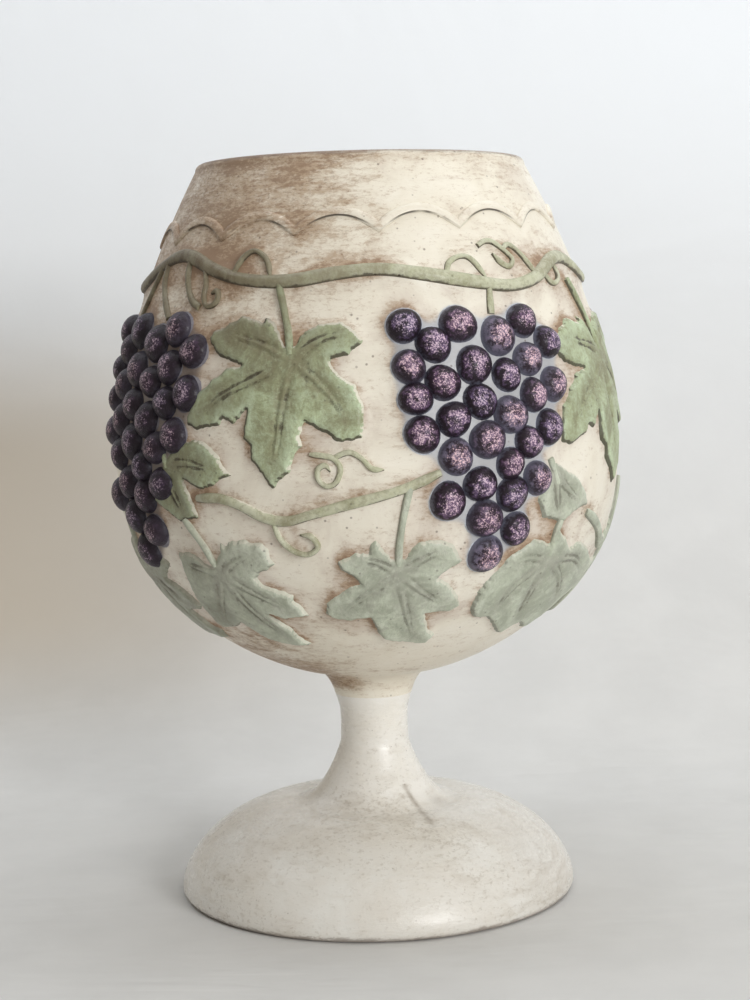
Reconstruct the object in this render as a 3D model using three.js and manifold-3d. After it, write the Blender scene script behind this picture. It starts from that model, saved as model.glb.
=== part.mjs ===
import * as THREE from 'three';
import { mergeVertices } from 'three/addons/utils/BufferGeometryUtils.js';
import Module from 'manifold-3d';

const wasm = await Module();
wasm.setup();

// A pottery goblet shaped like a brandy glass: a round bowl luted to a short stem on a
// wide domed foot. A vine with leaves, grapes and tendrils lies round the bowl in relief.
// Millimetres, +Z up. The origin is on the table under the middle of the foot, and the
// side that faces -Y is the front.

// Driving sizes of the thrown pot
const BOWL_HEIGHT = 174.5;
const MOUTH_RADIUS = 53.5;
const BELLY_RADIUS = 82;
const BELLY_RISE = 80.5;
const BOWL_WALL = 5;
const BOWL_FLOOR = 7;
const BOWL_BASE_RISE = 8.5;
const BOWL_BASE_RADIUS = 19;
const NECK_FLARE = 1.8;
const STEM_HEIGHT = 28.5;
const STEM_TOP_RADIUS = 12.8;
const STEM_WAIST_RADIUS = 11;
const STEM_BASE_RADIUS = 17;
const STEM_FLARE_HEIGHT = 4.5;
const FOOT_HEIGHT = 37;
const DOME_HEIGHT = 29.5;
const HUB_RADIUS = 27;
const HUB_FLARE = 3;
const FOOT_RADIUS = 65.4;
const FOOT_WALL = 6;
const FOOT_RING_WIDTH = 7;
const FOOT_EDGE_ROUND = 2.5;

// Driving sizes of the relief
const SLIP_GAP = 0.35;
const PIECE_GAP = 0.4;
const LEAF_THICKNESS = 1.5;
const LEAF_EDGE_THICKNESS = 1;
const GRAPE_STAND = 4.4;
const GRAPE_OVERLAP = 1.08;
const VINE_WIDTH = 4.4;
const VINE_THICKNESS = 1.9;
const LOW_VINE_WIDTH = 3.2;
const STALK_WIDTH = 2.4;
const TENDRIL_WIDTH = 1.8;
const TENDRIL_THICKNESS = 1.3;
const BEAD_WIDTH = 2.4;
const BEAD_THICKNESS = 0.8;

// How finely the round shapes are faceted
const LATHE_SIDES = 36;
const GRAPE_SIDES = 6;
const PAD_RING_STEP = 15.5;
const SCALLOP_STEPS = 4;
const WELD_DISTANCE = 0.002;

// Facets sink below the round wall between their corners, so the corners stand off by
// this many times the sag of the longest facet.
const SAG_ALLOWANCE = 1.8;

// A shape that cuts its neighbours reaches well above and below their clay.
const CUTTER_HEIGHT = 8;
const CUTTER_DEPTH = 1;

const FULL_TURN = 360;
const HALF_TURN = FULL_TURN / 2;
const HALF_ROUND = [[1, 0], [0.6, 0.85], [-0.6, 0.85], [-1, 0]];

// Glaze and paint colours
const cream = { color: 0xd8cfba, roughness: 0.5, metalness: 0 };
const paleCream = { color: 0xe0d8c4, roughness: 0.5, metalness: 0 };
const sage = { color: 0x8f9c78, roughness: 0.6, metalness: 0 };
const paleSage = { color: 0xa3ad90, roughness: 0.6, metalness: 0 };
const grapePurple = { color: 0x3b2a3d, roughness: 0.35, metalness: 0.1 };

const goblet = new THREE.Group();

function addPiece(name, geometry, look) {
  const piece = new THREE.Mesh(geometry, new THREE.MeshStandardMaterial(look));
  piece.name = name;
  goblet.add(piece);
}

// A rounded swell between two profile points, as a superellipse: it leaves the widest
// point straight along the axis. The fullness gives the powers across and along the axis.
function swell(widest, narrowest, fullness, steps) {
  const points = [];
  for (let step = 0; step <= steps; step += 1) {
    const climb = Math.sin((step / steps) * Math.PI / 2) ** (2 / fullness.along);
    const width = Math.max(0, 1 - climb ** fullness.along) ** (1 / fullness.across);
    points.push(new THREE.Vector2(
      narrowest.x + (widest.x - narrowest.x) * width,
      widest.y + (narrowest.y - widest.y) * climb,
    ));
  }
  return points;
}

function roundCorner(centre, radius, fromDegrees, toDegrees, steps) {
  const points = [];
  for (let step = 0; step <= steps; step += 1) {
    const angle = THREE.MathUtils.degToRad(fromDegrees + (toDegrees - fromDegrees) * step / steps);
    points.push(new THREE.Vector2(centre.x + radius * Math.cos(angle), centre.y + radius * Math.sin(angle)));
  }
  return points;
}

// Turned pieces are lathed about +Y and stood up so that their axis is +Z.
function turned(profile) {
  const geometry = new THREE.LatheGeometry(profile, LATHE_SIDES);
  geometry.rotateX(Math.PI / 2);
  return geometry;
}

// The bowl stands on the stem, and the stem on the foot.

const stemTop = FOOT_HEIGHT + STEM_HEIGHT;
const rimHeight = stemTop + BOWL_HEIGHT;

const UPPER_WALL_POWER = 1.72;
const LOWER_WALL_FULLNESS = { across: 1.4, along: 2.3 };
const INSIDE_FULLNESS = { across: 1.6, along: 2.2 };
const UPPER_WALL_STEPS = 6;
const LOWER_WALL_STEPS = 7;
const LIP_STEPS = 4;

const lipCentre = new THREE.Vector2(MOUTH_RADIUS - BOWL_WALL / 2, rimHeight - BOWL_WALL / 2);
const belly = new THREE.Vector2(BELLY_RADIUS, stemTop + BELLY_RISE);
const bowlBase = new THREE.Vector2(BOWL_BASE_RADIUS, stemTop + BOWL_BASE_RISE);

// The wall above the belly draws in faster and faster up to the mouth.
function upperWall(inset, steps = UPPER_WALL_STEPS) {
  const points = [];
  for (let step = 0; step <= steps; step += 1) {
    const climb = step / steps;
    points.push(new THREE.Vector2(
      BELLY_RADIUS - inset - (BELLY_RADIUS - MOUTH_RADIUS) * climb ** UPPER_WALL_POWER,
      belly.y + (lipCentre.y - belly.y) * climb,
    ));
  }
  return points;
}

function lowerWall(steps = LOWER_WALL_STEPS) {
  return swell(belly, bowlBase, LOWER_WALL_FULLNESS, steps);
}

function bowlProfile() {
  const neck = new THREE.QuadraticBezierCurve(
    new THREE.Vector2(STEM_TOP_RADIUS, stemTop),
    new THREE.Vector2(STEM_TOP_RADIUS + NECK_FLARE, bowlBase.y - NECK_FLARE),
    bowlBase,
  );
  const insideBelly = new THREE.Vector2(BELLY_RADIUS - BOWL_WALL, belly.y);
  const insideFloor = new THREE.Vector2(0, bowlBase.y + BOWL_FLOOR);
  return [
    new THREE.Vector2(0, stemTop),
    ...neck.getPoints(3),
    ...lowerWall().slice(0, -1).reverse(),
    ...upperWall(0).slice(1),
    ...roundCorner(lipCentre, BOWL_WALL / 2, 0, 180, LIP_STEPS).slice(1),
    ...upperWall(BOWL_WALL).slice(0, -1).reverse(),
    ...swell(insideBelly, insideFloor, INSIDE_FULLNESS, LOWER_WALL_STEPS - 1).slice(1),
  ];
}

addPiece('bowl', turned(bowlProfile()), cream);

// The stem, and the domed foot with its hollow underside

const DOME_FULLNESS = { across: 1.95, along: 1.75 };

function stemProfile() {
  const side = new THREE.SplineCurve([
    new THREE.Vector2(STEM_BASE_RADIUS, FOOT_HEIGHT),
    new THREE.Vector2((STEM_BASE_RADIUS + STEM_WAIST_RADIUS) / 2, FOOT_HEIGHT + STEM_FLARE_HEIGHT),
    new THREE.Vector2(STEM_WAIST_RADIUS, FOOT_HEIGHT + STEM_HEIGHT / 2),
    new THREE.Vector2(STEM_WAIST_RADIUS, stemTop - STEM_FLARE_HEIGHT),
    new THREE.Vector2(STEM_TOP_RADIUS, stemTop),
  ]);
  return [
    new THREE.Vector2(0, FOOT_HEIGHT),
    ...side.getPoints(8),
    new THREE.Vector2(0, stemTop),
  ];
}

function footProfile() {
  const edgeCentre = new THREE.Vector2(FOOT_RADIUS - FOOT_EDGE_ROUND, FOOT_EDGE_ROUND);
  const edgeTop = new THREE.Vector2(FOOT_RADIUS, FOOT_EDGE_ROUND);
  const hub = new THREE.QuadraticBezierCurve(
    new THREE.Vector2(HUB_RADIUS, DOME_HEIGHT),
    new THREE.Vector2(STEM_BASE_RADIUS + HUB_FLARE, DOME_HEIGHT),
    new THREE.Vector2(STEM_BASE_RADIUS, FOOT_HEIGHT),
  );
  const ringInside = FOOT_RADIUS - FOOT_RING_WIDTH;
  const underEdge = new THREE.Vector2(ringInside, FOOT_EDGE_ROUND);
  const underTop = new THREE.Vector2(0, DOME_HEIGHT - FOOT_WALL);
  return [
    ...swell(underEdge, underTop, DOME_FULLNESS, 5).reverse(),
    new THREE.Vector2(ringInside, 0),
    ...roundCorner(edgeCentre, FOOT_EDGE_ROUND, -90, 0, 3),
    ...swell(edgeTop, hub.v0, DOME_FULLNESS, 7).slice(1),
    ...hub.getPoints(3).slice(1),
    new THREE.Vector2(0, FOOT_HEIGHT),
  ];
}

addPiece('stem', turned(stemProfile()), cream);
addPiece('foot', turned(footProfile()), cream);

// The relief is drawn on a strip that wraps the bowl's wall from the mouth to the base.
// A place on it is [turn, drop]: the turn in degrees from the front towards +X, and the
// drop in steps of about a millimetre from the mouth. The strip is this many steps high,
// and this many steps round at the belly.

const STEPS_DOWN = 205;
const STEPS_ROUND = 515;

const wall = new THREE.SplineCurve([
  ...upperWall(0, 2 * UPPER_WALL_STEPS).reverse(),
  ...lowerWall(2 * LOWER_WALL_STEPS).slice(1),
]);

const dropStep = wall.getLength() / STEPS_DOWN;
const roundStep = 2 * Math.PI * BELLY_RADIUS / STEPS_ROUND;

function onWall(turn, drop, lift) {
  const share = drop / STEPS_DOWN;
  const point = wall.getPointAt(share);
  const downwards = wall.getTangentAt(share);
  const reach = point.x - downwards.y * lift;
  const height = point.y + downwards.x * lift;
  const angle = THREE.MathUtils.degToRad(turn);
  return new THREE.Vector3(reach * Math.sin(angle), -reach * Math.cos(angle), height);
}

function millimetresPerDegree(drop) {
  return THREE.MathUtils.degToRad(wall.getPointAt(drop / STEPS_DOWN).x);
}

// The spoke in millimetres along the wall from a middle place to another, and the place
// at the end of a spoke
function spokeTo([turn, drop], middle) {
  return new THREE.Vector2((turn - middle[0]) * millimetresPerDegree(middle[1]), (drop - middle[1]) * dropStep);
}

function placeAt(middle, spoke) {
  return [middle[0] + spoke.x / millimetresPerDegree(middle[1]), middle[1] + spoke.y / dropStep];
}

// A closed skin over a row of rings. Its ends are filled out from a middle point each,
// and without middle points the row runs round and joins its own start.
function skinned(rings, firstMiddle, lastMiddle) {
  const points = rings.flat();
  const size = rings[0].length;
  const faces = [];
  const bands = firstMiddle ? rings.length - 1 : rings.length;
  for (let ring = 0; ring < bands; ring += 1) {
    const here = ring * size;
    const there = ((ring + 1) % rings.length) * size;
    for (let side = 0; side < size; side += 1) {
      const next = (side + 1) % size;
      faces.push(here + side, there + side, there + next);
      faces.push(here + side, there + next, here + next);
    }
  }
  if (firstMiddle) {
    const first = points.push(firstMiddle) - 1;
    const last = points.push(lastMiddle) - 1;
    const lastRing = (rings.length - 1) * size;
    for (let side = 0; side < size; side += 1) {
      const next = (side + 1) % size;
      faces.push(first, side, next);
      faces.push(last, lastRing + next, lastRing + side);
    }
  }
  const geometry = new THREE.BufferGeometry().setFromPoints(points);
  geometry.setIndex(faces);
  return geometry;
}

function toSolid(geometry) {
  const bare = geometry.clone();
  bare.deleteAttribute('normal');
  bare.deleteAttribute('uv');
  const merged = mergeVertices(bare);
  return new wasm.Manifold(new wasm.Mesh({
    numProp: 3,
    vertProperties: new Float32Array(merged.attributes.position.array),
    triVerts: new Uint32Array(merged.index.array),
  }));
}

// Corners that a cut leaves very close together are welded, and the faces between them go.
function toGeometry(solid) {
  const mesh = solid.getMesh();
  const raw = new THREE.BufferGeometry();
  raw.setAttribute('position', new THREE.BufferAttribute(mesh.vertProperties, 3));
  raw.setIndex(new THREE.BufferAttribute(mesh.triVerts, 1));
  const geometry = mergeVertices(raw, WELD_DISTANCE);
  const corners = Array.from(geometry.index.array);
  const faces = [];
  for (let face = 0; face < corners.length; face += 3) {
    const [a, b, c] = corners.slice(face, face + 3);
    if (a !== b && b !== c && c !== a) {
      faces.push(a, b, c);
    }
  }
  geometry.setIndex(faces);
  geometry.computeVertexNormals();
  return geometry;
}

// Clay shapes that lie on the wall. Each can also be made as a cutter, which is wider by
// the gap between neighbours and takes away whatever lies over or against the shape.

function cutterOrClay(asCutter, thickness) {
  return asCutter
    ? { spread: PIECE_GAP, base: -CUTTER_DEPTH, top: SLIP_GAP + thickness + CUTTER_HEIGHT }
    : { spread: 0, base: SLIP_GAP, top: SLIP_GAP + thickness };
}

// A ribbon with a half-round section through a list of places.
function ribbon(places, width, thickness, asCutter, isRing = false) {
  const { spread, base, top } = cutterOrClay(asCutter, thickness);
  const halfWidth = width / 2 + spread;
  const count = places.length;
  const sections = places.map((place, index) => {
    const before = isRing ? places[(index + count - 1) % count] : places[Math.max(index - 1, 0)];
    const after = isRing ? places[(index + 1) % count] : places[Math.min(index + 1, count - 1)];
    const scale = millimetresPerDegree(place.y);
    const turnStep = THREE.MathUtils.euclideanModulo(after.x - before.x + HALF_TURN, FULL_TURN) - HALF_TURN;
    const along = new THREE.Vector2(turnStep * scale, (after.y - before.y) * dropStep).normalize();
    return HALF_ROUND.map(([side, height]) => onWall(
      place.x - along.y * side * halfWidth / scale,
      place.y + along.x * side * halfWidth / dropStep,
      base + (top - base) * height,
    ));
  });
  if (isRing) {
    return toSolid(skinned(sections));
  }
  const middle = (base + top) / 2;
  const [first, last] = [places[0], places[count - 1]];
  return toSolid(skinned(sections, onWall(first.x, first.y, middle), onWall(last.x, last.y, middle)));
}

function strand(way, width, thickness, asCutter, stepsPerPlace = 1) {
  const curve = new THREE.SplineCurve(way.map(([turn, drop]) => new THREE.Vector2(turn, drop)));
  return ribbon(curve.getPoints((way.length - 1) * stepsPerPlace), width, thickness, asCutter);
}

// A thin pad inside an outline that is drawn round a middle place.
function pad({ middle, outline }, thickness, edgeThickness, asCutter) {
  const { spread, base, top } = cutterOrClay(asCutter, thickness);
  const spokes = outline.map((place) => {
    const spoke = spokeTo(place, middle);
    return spoke.setLength(spoke.length() + spread);
  });
  const reach = Math.max(...spokes.map((spoke) => spoke.length()));
  const ringCount = Math.max(2, Math.ceil(reach / PAD_RING_STEP));
  const bedding = asCutter ? 0 : SAG_ALLOWANCE * (reach / ringCount) ** 2 / (8 * BELLY_RADIUS);
  const ringAt = (share, lift) => spokes.map((spoke) => (
    onWall(...placeAt(middle, spoke.clone().multiplyScalar(share)), lift)
  ));
  const under = [];
  const over = [];
  for (let ring = 1; ring <= ringCount; ring += 1) {
    const share = ring / ringCount;
    under.push(ringAt(share, base + bedding));
    over.push(ringAt(share, top + bedding - (thickness - edgeThickness) * share ** 3));
  }
  return toSolid(skinned(
    [...under, ...over.reverse()],
    onWall(middle[0], middle[1], base + bedding),
    onWall(middle[0], middle[1], top + bedding),
  ));
}

// A leaf is a pad with its stalk pressed into it.
function leaf(shape, asCutter) {
  const blade = pad(shape, LEAF_THICKNESS, LEAF_EDGE_THICKNESS, asCutter);
  return blade.add(strand(shape.stalk, STALK_WIDTH, LEAF_THICKNESS + 0.2, asCutter));
}

// A grape stands out of the wall as a faceted dome, with its axis square to the wall.
// Its radius is in steps of the strip, and it is a little wider than it shows, so that it
// runs into the grapes beside it.
function grape(turn, drop, radius, asCutter) {
  const { spread, base, top } = cutterOrClay(asCutter, GRAPE_STAND);
  const halfWidth = (radius * roundStep + spread) * GRAPE_OVERLAP;
  const halfHeight = (radius * dropStep + spread) * GRAPE_OVERLAP;
  const rings = [
    [1, base],
    [0.84, base + (top - base) * 0.66],
  ];
  const seat = onWall(turn, drop, 0);
  const outward = onWall(turn, drop, 1).sub(seat);
  const sideways = new THREE.Vector3(-outward.y, outward.x, 0).normalize();
  const downward = new THREE.Vector3().crossVectors(sideways, outward);
  const at = (share, lift, angle) => seat.clone()
    .addScaledVector(outward, lift)
    .addScaledVector(sideways, halfWidth * share * Math.cos(angle))
    .addScaledVector(downward, halfHeight * share * Math.sin(angle));
  const sections = rings.map(([share, lift]) => Array.from(
    { length: GRAPE_SIDES },
    (_, side) => at(share, lift, side / GRAPE_SIDES * 2 * Math.PI + drop),
  ));
  return toSolid(skinned(sections, at(0, base, 0), at(0, top, 0)));
}

// A bunch of grapes pressed together. Its cutter also clears the chinks between them.
function bunch(shape, asCutter) {
  const grapes = shape.grapes
    .map(([turn, drop, radius]) => grape(turn, drop, radius, asCutter))
    .reduce((whole, next) => whole.add(next));
  return asCutter ? grapes.add(pad(shape, GRAPE_STAND, GRAPE_STAND, asCutter)) : grapes;
}

// Cut the neighbours that lie over a piece out of it, and keep its body.
function cutBy(solid, cutters) {
  const bodies = cutters.reduce((rest, cutter) => rest.subtract(cutter), solid).decompose();
  return bodies.reduce((largest, body) => (body.volume() > largest.volume() ? body : largest));
}

// Leaf outlines, drawn clockwise from the stalk round the junction of the veins

const vineLeaf = {
  middle: [-16, 67],
  stalk: [[-20, 43.2], [-18, 50], [-16.5, 57], [-15.8, 66]],
  outline: [
    [-15, 61], [-14, 58], [-10, 54.7], [-3, 55.5], [0, 60], [-3.5, 64.5], [-7, 66.2],
    [-6, 69], [-2, 73], [-0.2, 80], [-0.3, 85], [-3, 90], [-7.5, 88], [-12.5, 84],
    [-13.8, 92], [-15.8, 99], [-19.6, 104], [-21.5, 100], [-24.3, 95], [-26, 89], [-25.5, 80.5],
    [-28.5, 84.5], [-31, 83], [-35, 85.5], [-41, 85], [-39.5, 78], [-36, 73], [-32.5, 69.5], [-27.5, 67],
    [-31.5, 65], [-35, 62], [-37, 58], [-33, 55], [-29, 51.7], [-25, 53], [-22.5, 52], [-19, 56.5],
    [-17.3, 61],
  ],
};

const lowLeafMiddle = {
  middle: [6.2, 135],
  stalk: [[8.5, 107.5], [7.3, 112], [6.6, 120], [6.3, 130]],
  outline: [
    [7.8, 126], [9, 123], [12.5, 120.5], [18, 122], [21, 128], [18, 130.5], [15.5, 133.5],
    [19.5, 137.5], [23, 145.5], [20.5, 147.5], [14, 147.8],
    [15, 151.5], [18.5, 160], [14, 163.3], [6, 161.2], [1.8, 156], [-0.2, 148.7],
    [-5.5, 150], [-11.5, 146.5], [-8.5, 139.5], [-2.2, 134.5],
    [-5, 130.5], [-6.8, 126.5], [-3, 123.7], [1.5, 119.7], [4.8, 126],
  ],
};

const lowLeafLeft = {
  middle: [-36, 134],
  stalk: [[-42.5, 113.5], [-40.5, 117.5], [-38.5, 122], [-36.5, 129]],
  outline: [
    [-34.5, 124.5], [-33, 121], [-27.5, 119.5], [-23.5, 120.5], [-22, 125], [-23, 129.5], [-26.5, 132.5],
    [-23, 136.5], [-18.5, 139], [-16, 148], [-23, 149.5], [-27, 147.5],
    [-22.5, 155], [-19, 163.5], [-29, 162.5], [-36, 156], [-38, 152.5],
    [-42, 155.5], [-48, 157], [-49.5, 150], [-50, 143], [-49, 137],
    [-48, 125.5], [-44, 125], [-40, 128.5], [-37.5, 129],
  ],
};

const lowLeafRight = {
  middle: [45, 134],
  stalk: [[46, 117.5], [45, 122], [45, 130]],
  outline: [
    [46.5, 122], [50, 124], [53, 128], [56, 126.5], [60, 128], [66, 132],
    [72, 137], [70, 147], [66, 150], [62, 158], [57, 163], [50, 158],
    [45, 162], [38, 157], [33, 152], [27, 150], [27, 140], [33, 128], [39, 123], [44, 125],
  ],
};

const smallLeafLeft = {
  middle: [-43.5, 101],
  stalk: [[-47, 93], [-45, 97], [-43.5, 101]],
  outline: [
    [-41, 90], [-38, 89.5], [-34, 91.5], [-31, 97], [-29, 100], [-32, 101.5], [-37, 104.5], [-41, 103],
    [-39.5, 107], [-38.5, 113.5], [-44, 115], [-48, 112], [-52, 108], [-50, 100], [-46, 94],
  ],
};

const smallLeafRight = {
  middle: [45, 109],
  stalk: [[43, 101], [44, 105], [45, 109]],
  outline: [
    [43.5, 99.5], [48, 103], [52, 106], [56, 113], [52, 115], [47, 118.5], [44, 117],
    [40, 116], [38, 110], [40, 103],
  ],
};

// The bunch hangs from a short stalk: two shoulders, and one grape at the tip.
const grapeBunch = {
  middle: [26, 80],
  outline: [
    [27, 50], [31, 52.5], [38.5, 50.5], [46, 55], [49.5, 63], [49, 78], [46, 90], [42, 97],
    [41, 106], [38, 112], [36, 121], [30, 131], [26, 132.5], [21.5, 129], [19.5, 118], [12.5, 112],
    [13.5, 103], [12, 93], [7, 86], [6, 74], [5, 62], [5, 54], [10, 51], [16, 52.5], [21, 50.5],
  ],
  grapes: [
    [9, 56, 5.4], [21.5, 56, 6], [15.2, 62, 5.6], [31, 60, 6.2], [38.5, 55.5, 5.6], [45, 62.5, 5.4],
    [9.5, 68.5, 5.3], [24, 68.5, 6], [38, 67.5, 5.5], [16.5, 73.5, 5.6], [31.5, 72, 5.2], [44.5, 75.5, 5.6],
    [10.5, 78, 5.2], [24.5, 79.5, 5.6], [38, 78.5, 5.3], [18.3, 84.5, 5.5], [31.5, 84, 6],
    [11.5, 88.5, 5.6], [41.5, 88.5, 5.6], [25.5, 91, 6], [35.5, 92.5, 5.2], [18.3, 95.5, 5.6],
    [30.5, 98.5, 5], [23.5, 104, 5.5], [37.5, 103.5, 5.4], [16.5, 108.5, 5.8], [31, 107.5, 5.6],
    [24.8, 114.5, 6], [32.5, 118.5, 5.4], [26, 126, 6],
  ],
};
const LEFT_BUNCH_TURN = -86;

const swungPlace = (swing) => ([turn, drop, ...rest]) => [turn + swing, drop, ...rest];

// A shape carried round the pot by some degrees, with every list of places in it
function swung(shape, swing) {
  return Object.fromEntries(Object.entries(shape).map(([key, places]) => [
    key,
    key === 'middle' ? swungPlace(swing)(places) : places.map(swungPlace(swing)),
  ]));
}

// A shape moved to a new middle place, leaned clockwise by some degrees and resized
function moved(shape, { middle, lean, size }) {
  const move = (place) => {
    const spoke = spokeTo(place, shape.middle).multiplyScalar(size);
    return placeAt(middle, spoke.rotateAround(new THREE.Vector2(), THREE.MathUtils.degToRad(lean)));
  };
  return { middle, stalk: shape.stalk.map(move), outline: shape.outline.map(move) };
}

const vineLeafRight = moved(vineLeaf, { middle: [70, 69], lean: -8, size: 1.08 });
const lowLeafFarRight = moved(lowLeafMiddle, { middle: [84, 137], lean: 8, size: 0.9 });
const lowLeafFarLeft = moved(lowLeafMiddle, { middle: [-68, 139], lean: -6, size: 0.95 });

// The upper vine goes once round the pot in waves. Both halves of the ring are the same.
const upperVineWay = [
  [-90, 41], [-78, 40], [-66, 35], [-57, 31.6], [-50, 31.8], [-40, 36.5], [-30, 40], [-18, 41],
  [-6, 38.9], [4, 38], [14, 39.6], [25, 42], [37, 44], [47, 41.8], [57, 35.8], [64, 34.7],
  [72, 37.4], [80, 40.5],
];
const bunchStalks = [
  [[31.5, 42], [31.3, 46], [30.5, 53]],
  [[-64, 35], [-67, 43], [-70, 52]],
  [[-61, 34], [-58, 42], [-55, 52]],
  [[-50, 33], [-47.5, 41], [-46.5, 48]],
];
const upperTendrils = [
  [[-33.5, 38.5], [-31.5, 33.5], [-29, 31], [-26.5, 31.5], [-24, 34.5], [-22.5, 40]],
  [[-43, 36], [-41.5, 41], [-41.3, 45], [-40, 48], [-37.8, 48], [-36.6, 45.8], [-37.3, 43.5], [-39, 44.2]],
  [[20.5, 40.5], [22, 36.2], [25.5, 34.3], [28.5, 35.8], [31.5, 42]],
  [[31, 31], [33.5, 29.5], [36, 29.8], [39, 32.5], [41, 35.5], [39.5, 37.8], [37, 36.6], [35, 33.5]],
  [[38.8, 32], [41, 30.6], [43.5, 32.4], [46, 36], [48.5, 41]],
  [[51, 39], [53.5, 43], [56.5, 43.2], [58.2, 40.6], [57.4, 36.5]],
];

// The lower vine grows out of the small leaf and ends behind the bunch.
const lowerVineWay = [
  [-38, 107.2], [-32, 107], [-27, 109], [-22, 112.3], [-17, 113.5], [-11, 111.3], [-4, 108.6],
  [3, 106.2], [9, 103.6], [15, 100],
];
const lowerTendril = [
  [-20, 113], [-18.8, 119], [-16, 123], [-13, 124], [-10.8, 121.6], [-12, 118.3], [-14.4, 117.8],
];
const farVineWay = [[56, 116.5], [60, 119], [65, 123], [70, 128], [74, 131]];
const curl = [
  [-11.5, 93.6], [-9, 94], [-6.5, 95], [-5.3, 98], [-6.3, 102], [-8.2, 103], [-9.8, 101], [-9.8, 98],
  [-8.3, 96.9], [-7.3, 98.8],
];
const curlTail = [[-6.8, 94.8], [-3.5, 93.2], [-1, 95], [1, 98], [3.5, 98.5]];

function upperVine(asCutter) {
  const halves = [0, HALF_TURN];
  const round = halves.flatMap((swing) => upperVineWay.map(swungPlace(swing)));
  const wrapped = [
    swungPlace(-FULL_TURN)(round[round.length - 1]),
    ...round,
    swungPlace(FULL_TURN)(round[0]),
    swungPlace(FULL_TURN)(round[1]),
  ];
  const curve = new THREE.SplineCurve(wrapped.map(([turn, drop]) => new THREE.Vector2(turn, drop)));
  const stepsPerPlace = 2;
  const places = Array.from({ length: round.length * stepsPerPlace }, (_, step) => (
    curve.getPoint((1 + step / stepsPerPlace) / (wrapped.length - 1))
  ));
  const branches = halves.flatMap((swing) => [
    ...bunchStalks.map((way) => (
      strand(way.map(swungPlace(swing)), STALK_WIDTH, TENDRIL_THICKNESS, asCutter)
    )),
    ...upperTendrils.map((way) => (
      strand(way.map(swungPlace(swing)), TENDRIL_WIDTH, TENDRIL_THICKNESS, asCutter)
    )),
  ]);
  const ring = ribbon(places, VINE_WIDTH, VINE_THICKNESS, asCutter, true);
  return branches.reduce((whole, branch) => whole.add(branch), ring);
}

// The row of scallops below the mouth: a raised bead that dips to a cusp between arches.
// The first arch has its top at this turn, and the drops are those of tops and cusps.
const scallops = { count: 16, turn: -6.5, topStep: 18.7, cuspStep: 24.8 };

function scallopBead() {
  const pitch = FULL_TURN / scallops.count;
  const places = Array.from({ length: scallops.count * SCALLOP_STEPS }, (_, step) => {
    const along = step / SCALLOP_STEPS;
    const offCentre = 2 * (along - Math.floor(along)) - 1;
    return new THREE.Vector2(
      scallops.turn + (along - 0.5) * pitch,
      scallops.topStep + (scallops.cuspStep - scallops.topStep) * offCentre ** 2,
    );
  });
  return ribbon(places, BEAD_WIDTH, BEAD_THICKNESS, false, true);
}

// The relief is laid from the top down: what is laid first cuts what lies under it.
// Each shape is laid on the front, and again on the back half a turn on.

const laid = [];

function lay(name, make, shape, look, side) {
  const swing = side === 'front' ? 0 : HALF_TURN;
  const there = Array.isArray(shape) ? shape.map(swungPlace(swing)) : swung(shape, swing);
  addPiece(`${name}_${side}`, toGeometry(cutBy(make(there, false), laid)), look);
  laid.push(make(there, true));
}

function layOnBothSides(name, make, shape, look) {
  lay(name, make, shape, look, 'front');
  lay(name, make, shape, look, 'back');
}

const lowVine = (way, asCutter) => strand(way, LOW_VINE_WIDTH, VINE_THICKNESS, asCutter, 2);
const vineWithTendril = (way, asCutter) => {
  const swing = way[0][0] - lowerVineWay[0][0];
  const tendril = strand(lowerTendril.map(swungPlace(swing)), TENDRIL_WIDTH, TENDRIL_THICKNESS, asCutter);
  return lowVine(way, asCutter).add(tendril);
};
const curledTendril = (way, asCutter) => {
  const swing = way[0][0] - curl[0][0];
  const tail = strand(curlTail.map(swungPlace(swing)), TENDRIL_WIDTH, TENDRIL_THICKNESS, asCutter);
  return strand(way, TENDRIL_WIDTH, TENDRIL_THICKNESS, asCutter).add(tail);
};

layOnBothSides('grape_bunch_right', bunch, grapeBunch, grapePurple);
layOnBothSides('grape_bunch_left', bunch, swung(grapeBunch, LEFT_BUNCH_TURN), grapePurple);

addPiece('upper_vine', toGeometry(cutBy(upperVine(false), laid)), sage);
laid.push(upperVine(true));

addPiece('scallop_bead', toGeometry(cutBy(scallopBead(), laid)), paleCream);

layOnBothSides('vine_leaf_middle', leaf, vineLeaf, sage);
layOnBothSides('vine_leaf_right', leaf, vineLeafRight, sage);
layOnBothSides('small_leaf_left', leaf, smallLeafLeft, sage);
layOnBothSides('small_leaf_right', leaf, smallLeafRight, paleSage);
layOnBothSides('lower_vine', vineWithTendril, lowerVineWay, sage);
layOnBothSides('low_leaf_right', leaf, lowLeafRight, paleSage);
layOnBothSides('low_leaf_middle', leaf, lowLeafMiddle, paleSage);
layOnBothSides('low_leaf_left', leaf, lowLeafLeft, paleSage);
layOnBothSides('low_leaf_far_right', leaf, lowLeafFarRight, paleSage);
layOnBothSides('low_leaf_far_left', leaf, lowLeafFarLeft, paleSage);
layOnBothSides('lower_vine_right', lowVine, farVineWay, paleSage);
layOnBothSides('curled_tendril', curledTendril, curl, sage);

export default goblet;
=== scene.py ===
# %% [markdown]
# # A pottery goblet with a grape vine
#
# The goblet is a round bowl on a short stem and a wide domed foot. A vine lies round the
# bowl in relief: leaves, bunches of grapes and tendrils that were pressed on as thin clay,
# washed with brown stain and painted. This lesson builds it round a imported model, which
# gives every place and size. First come the helpers, then the turned pieces, the relief,
# the glaze and paint, and at last the card, the light and the camera.

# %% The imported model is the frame
import math
from functools import cached_property

import bpy
import numpy as np
from mathutils import Matrix, Vector


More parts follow.
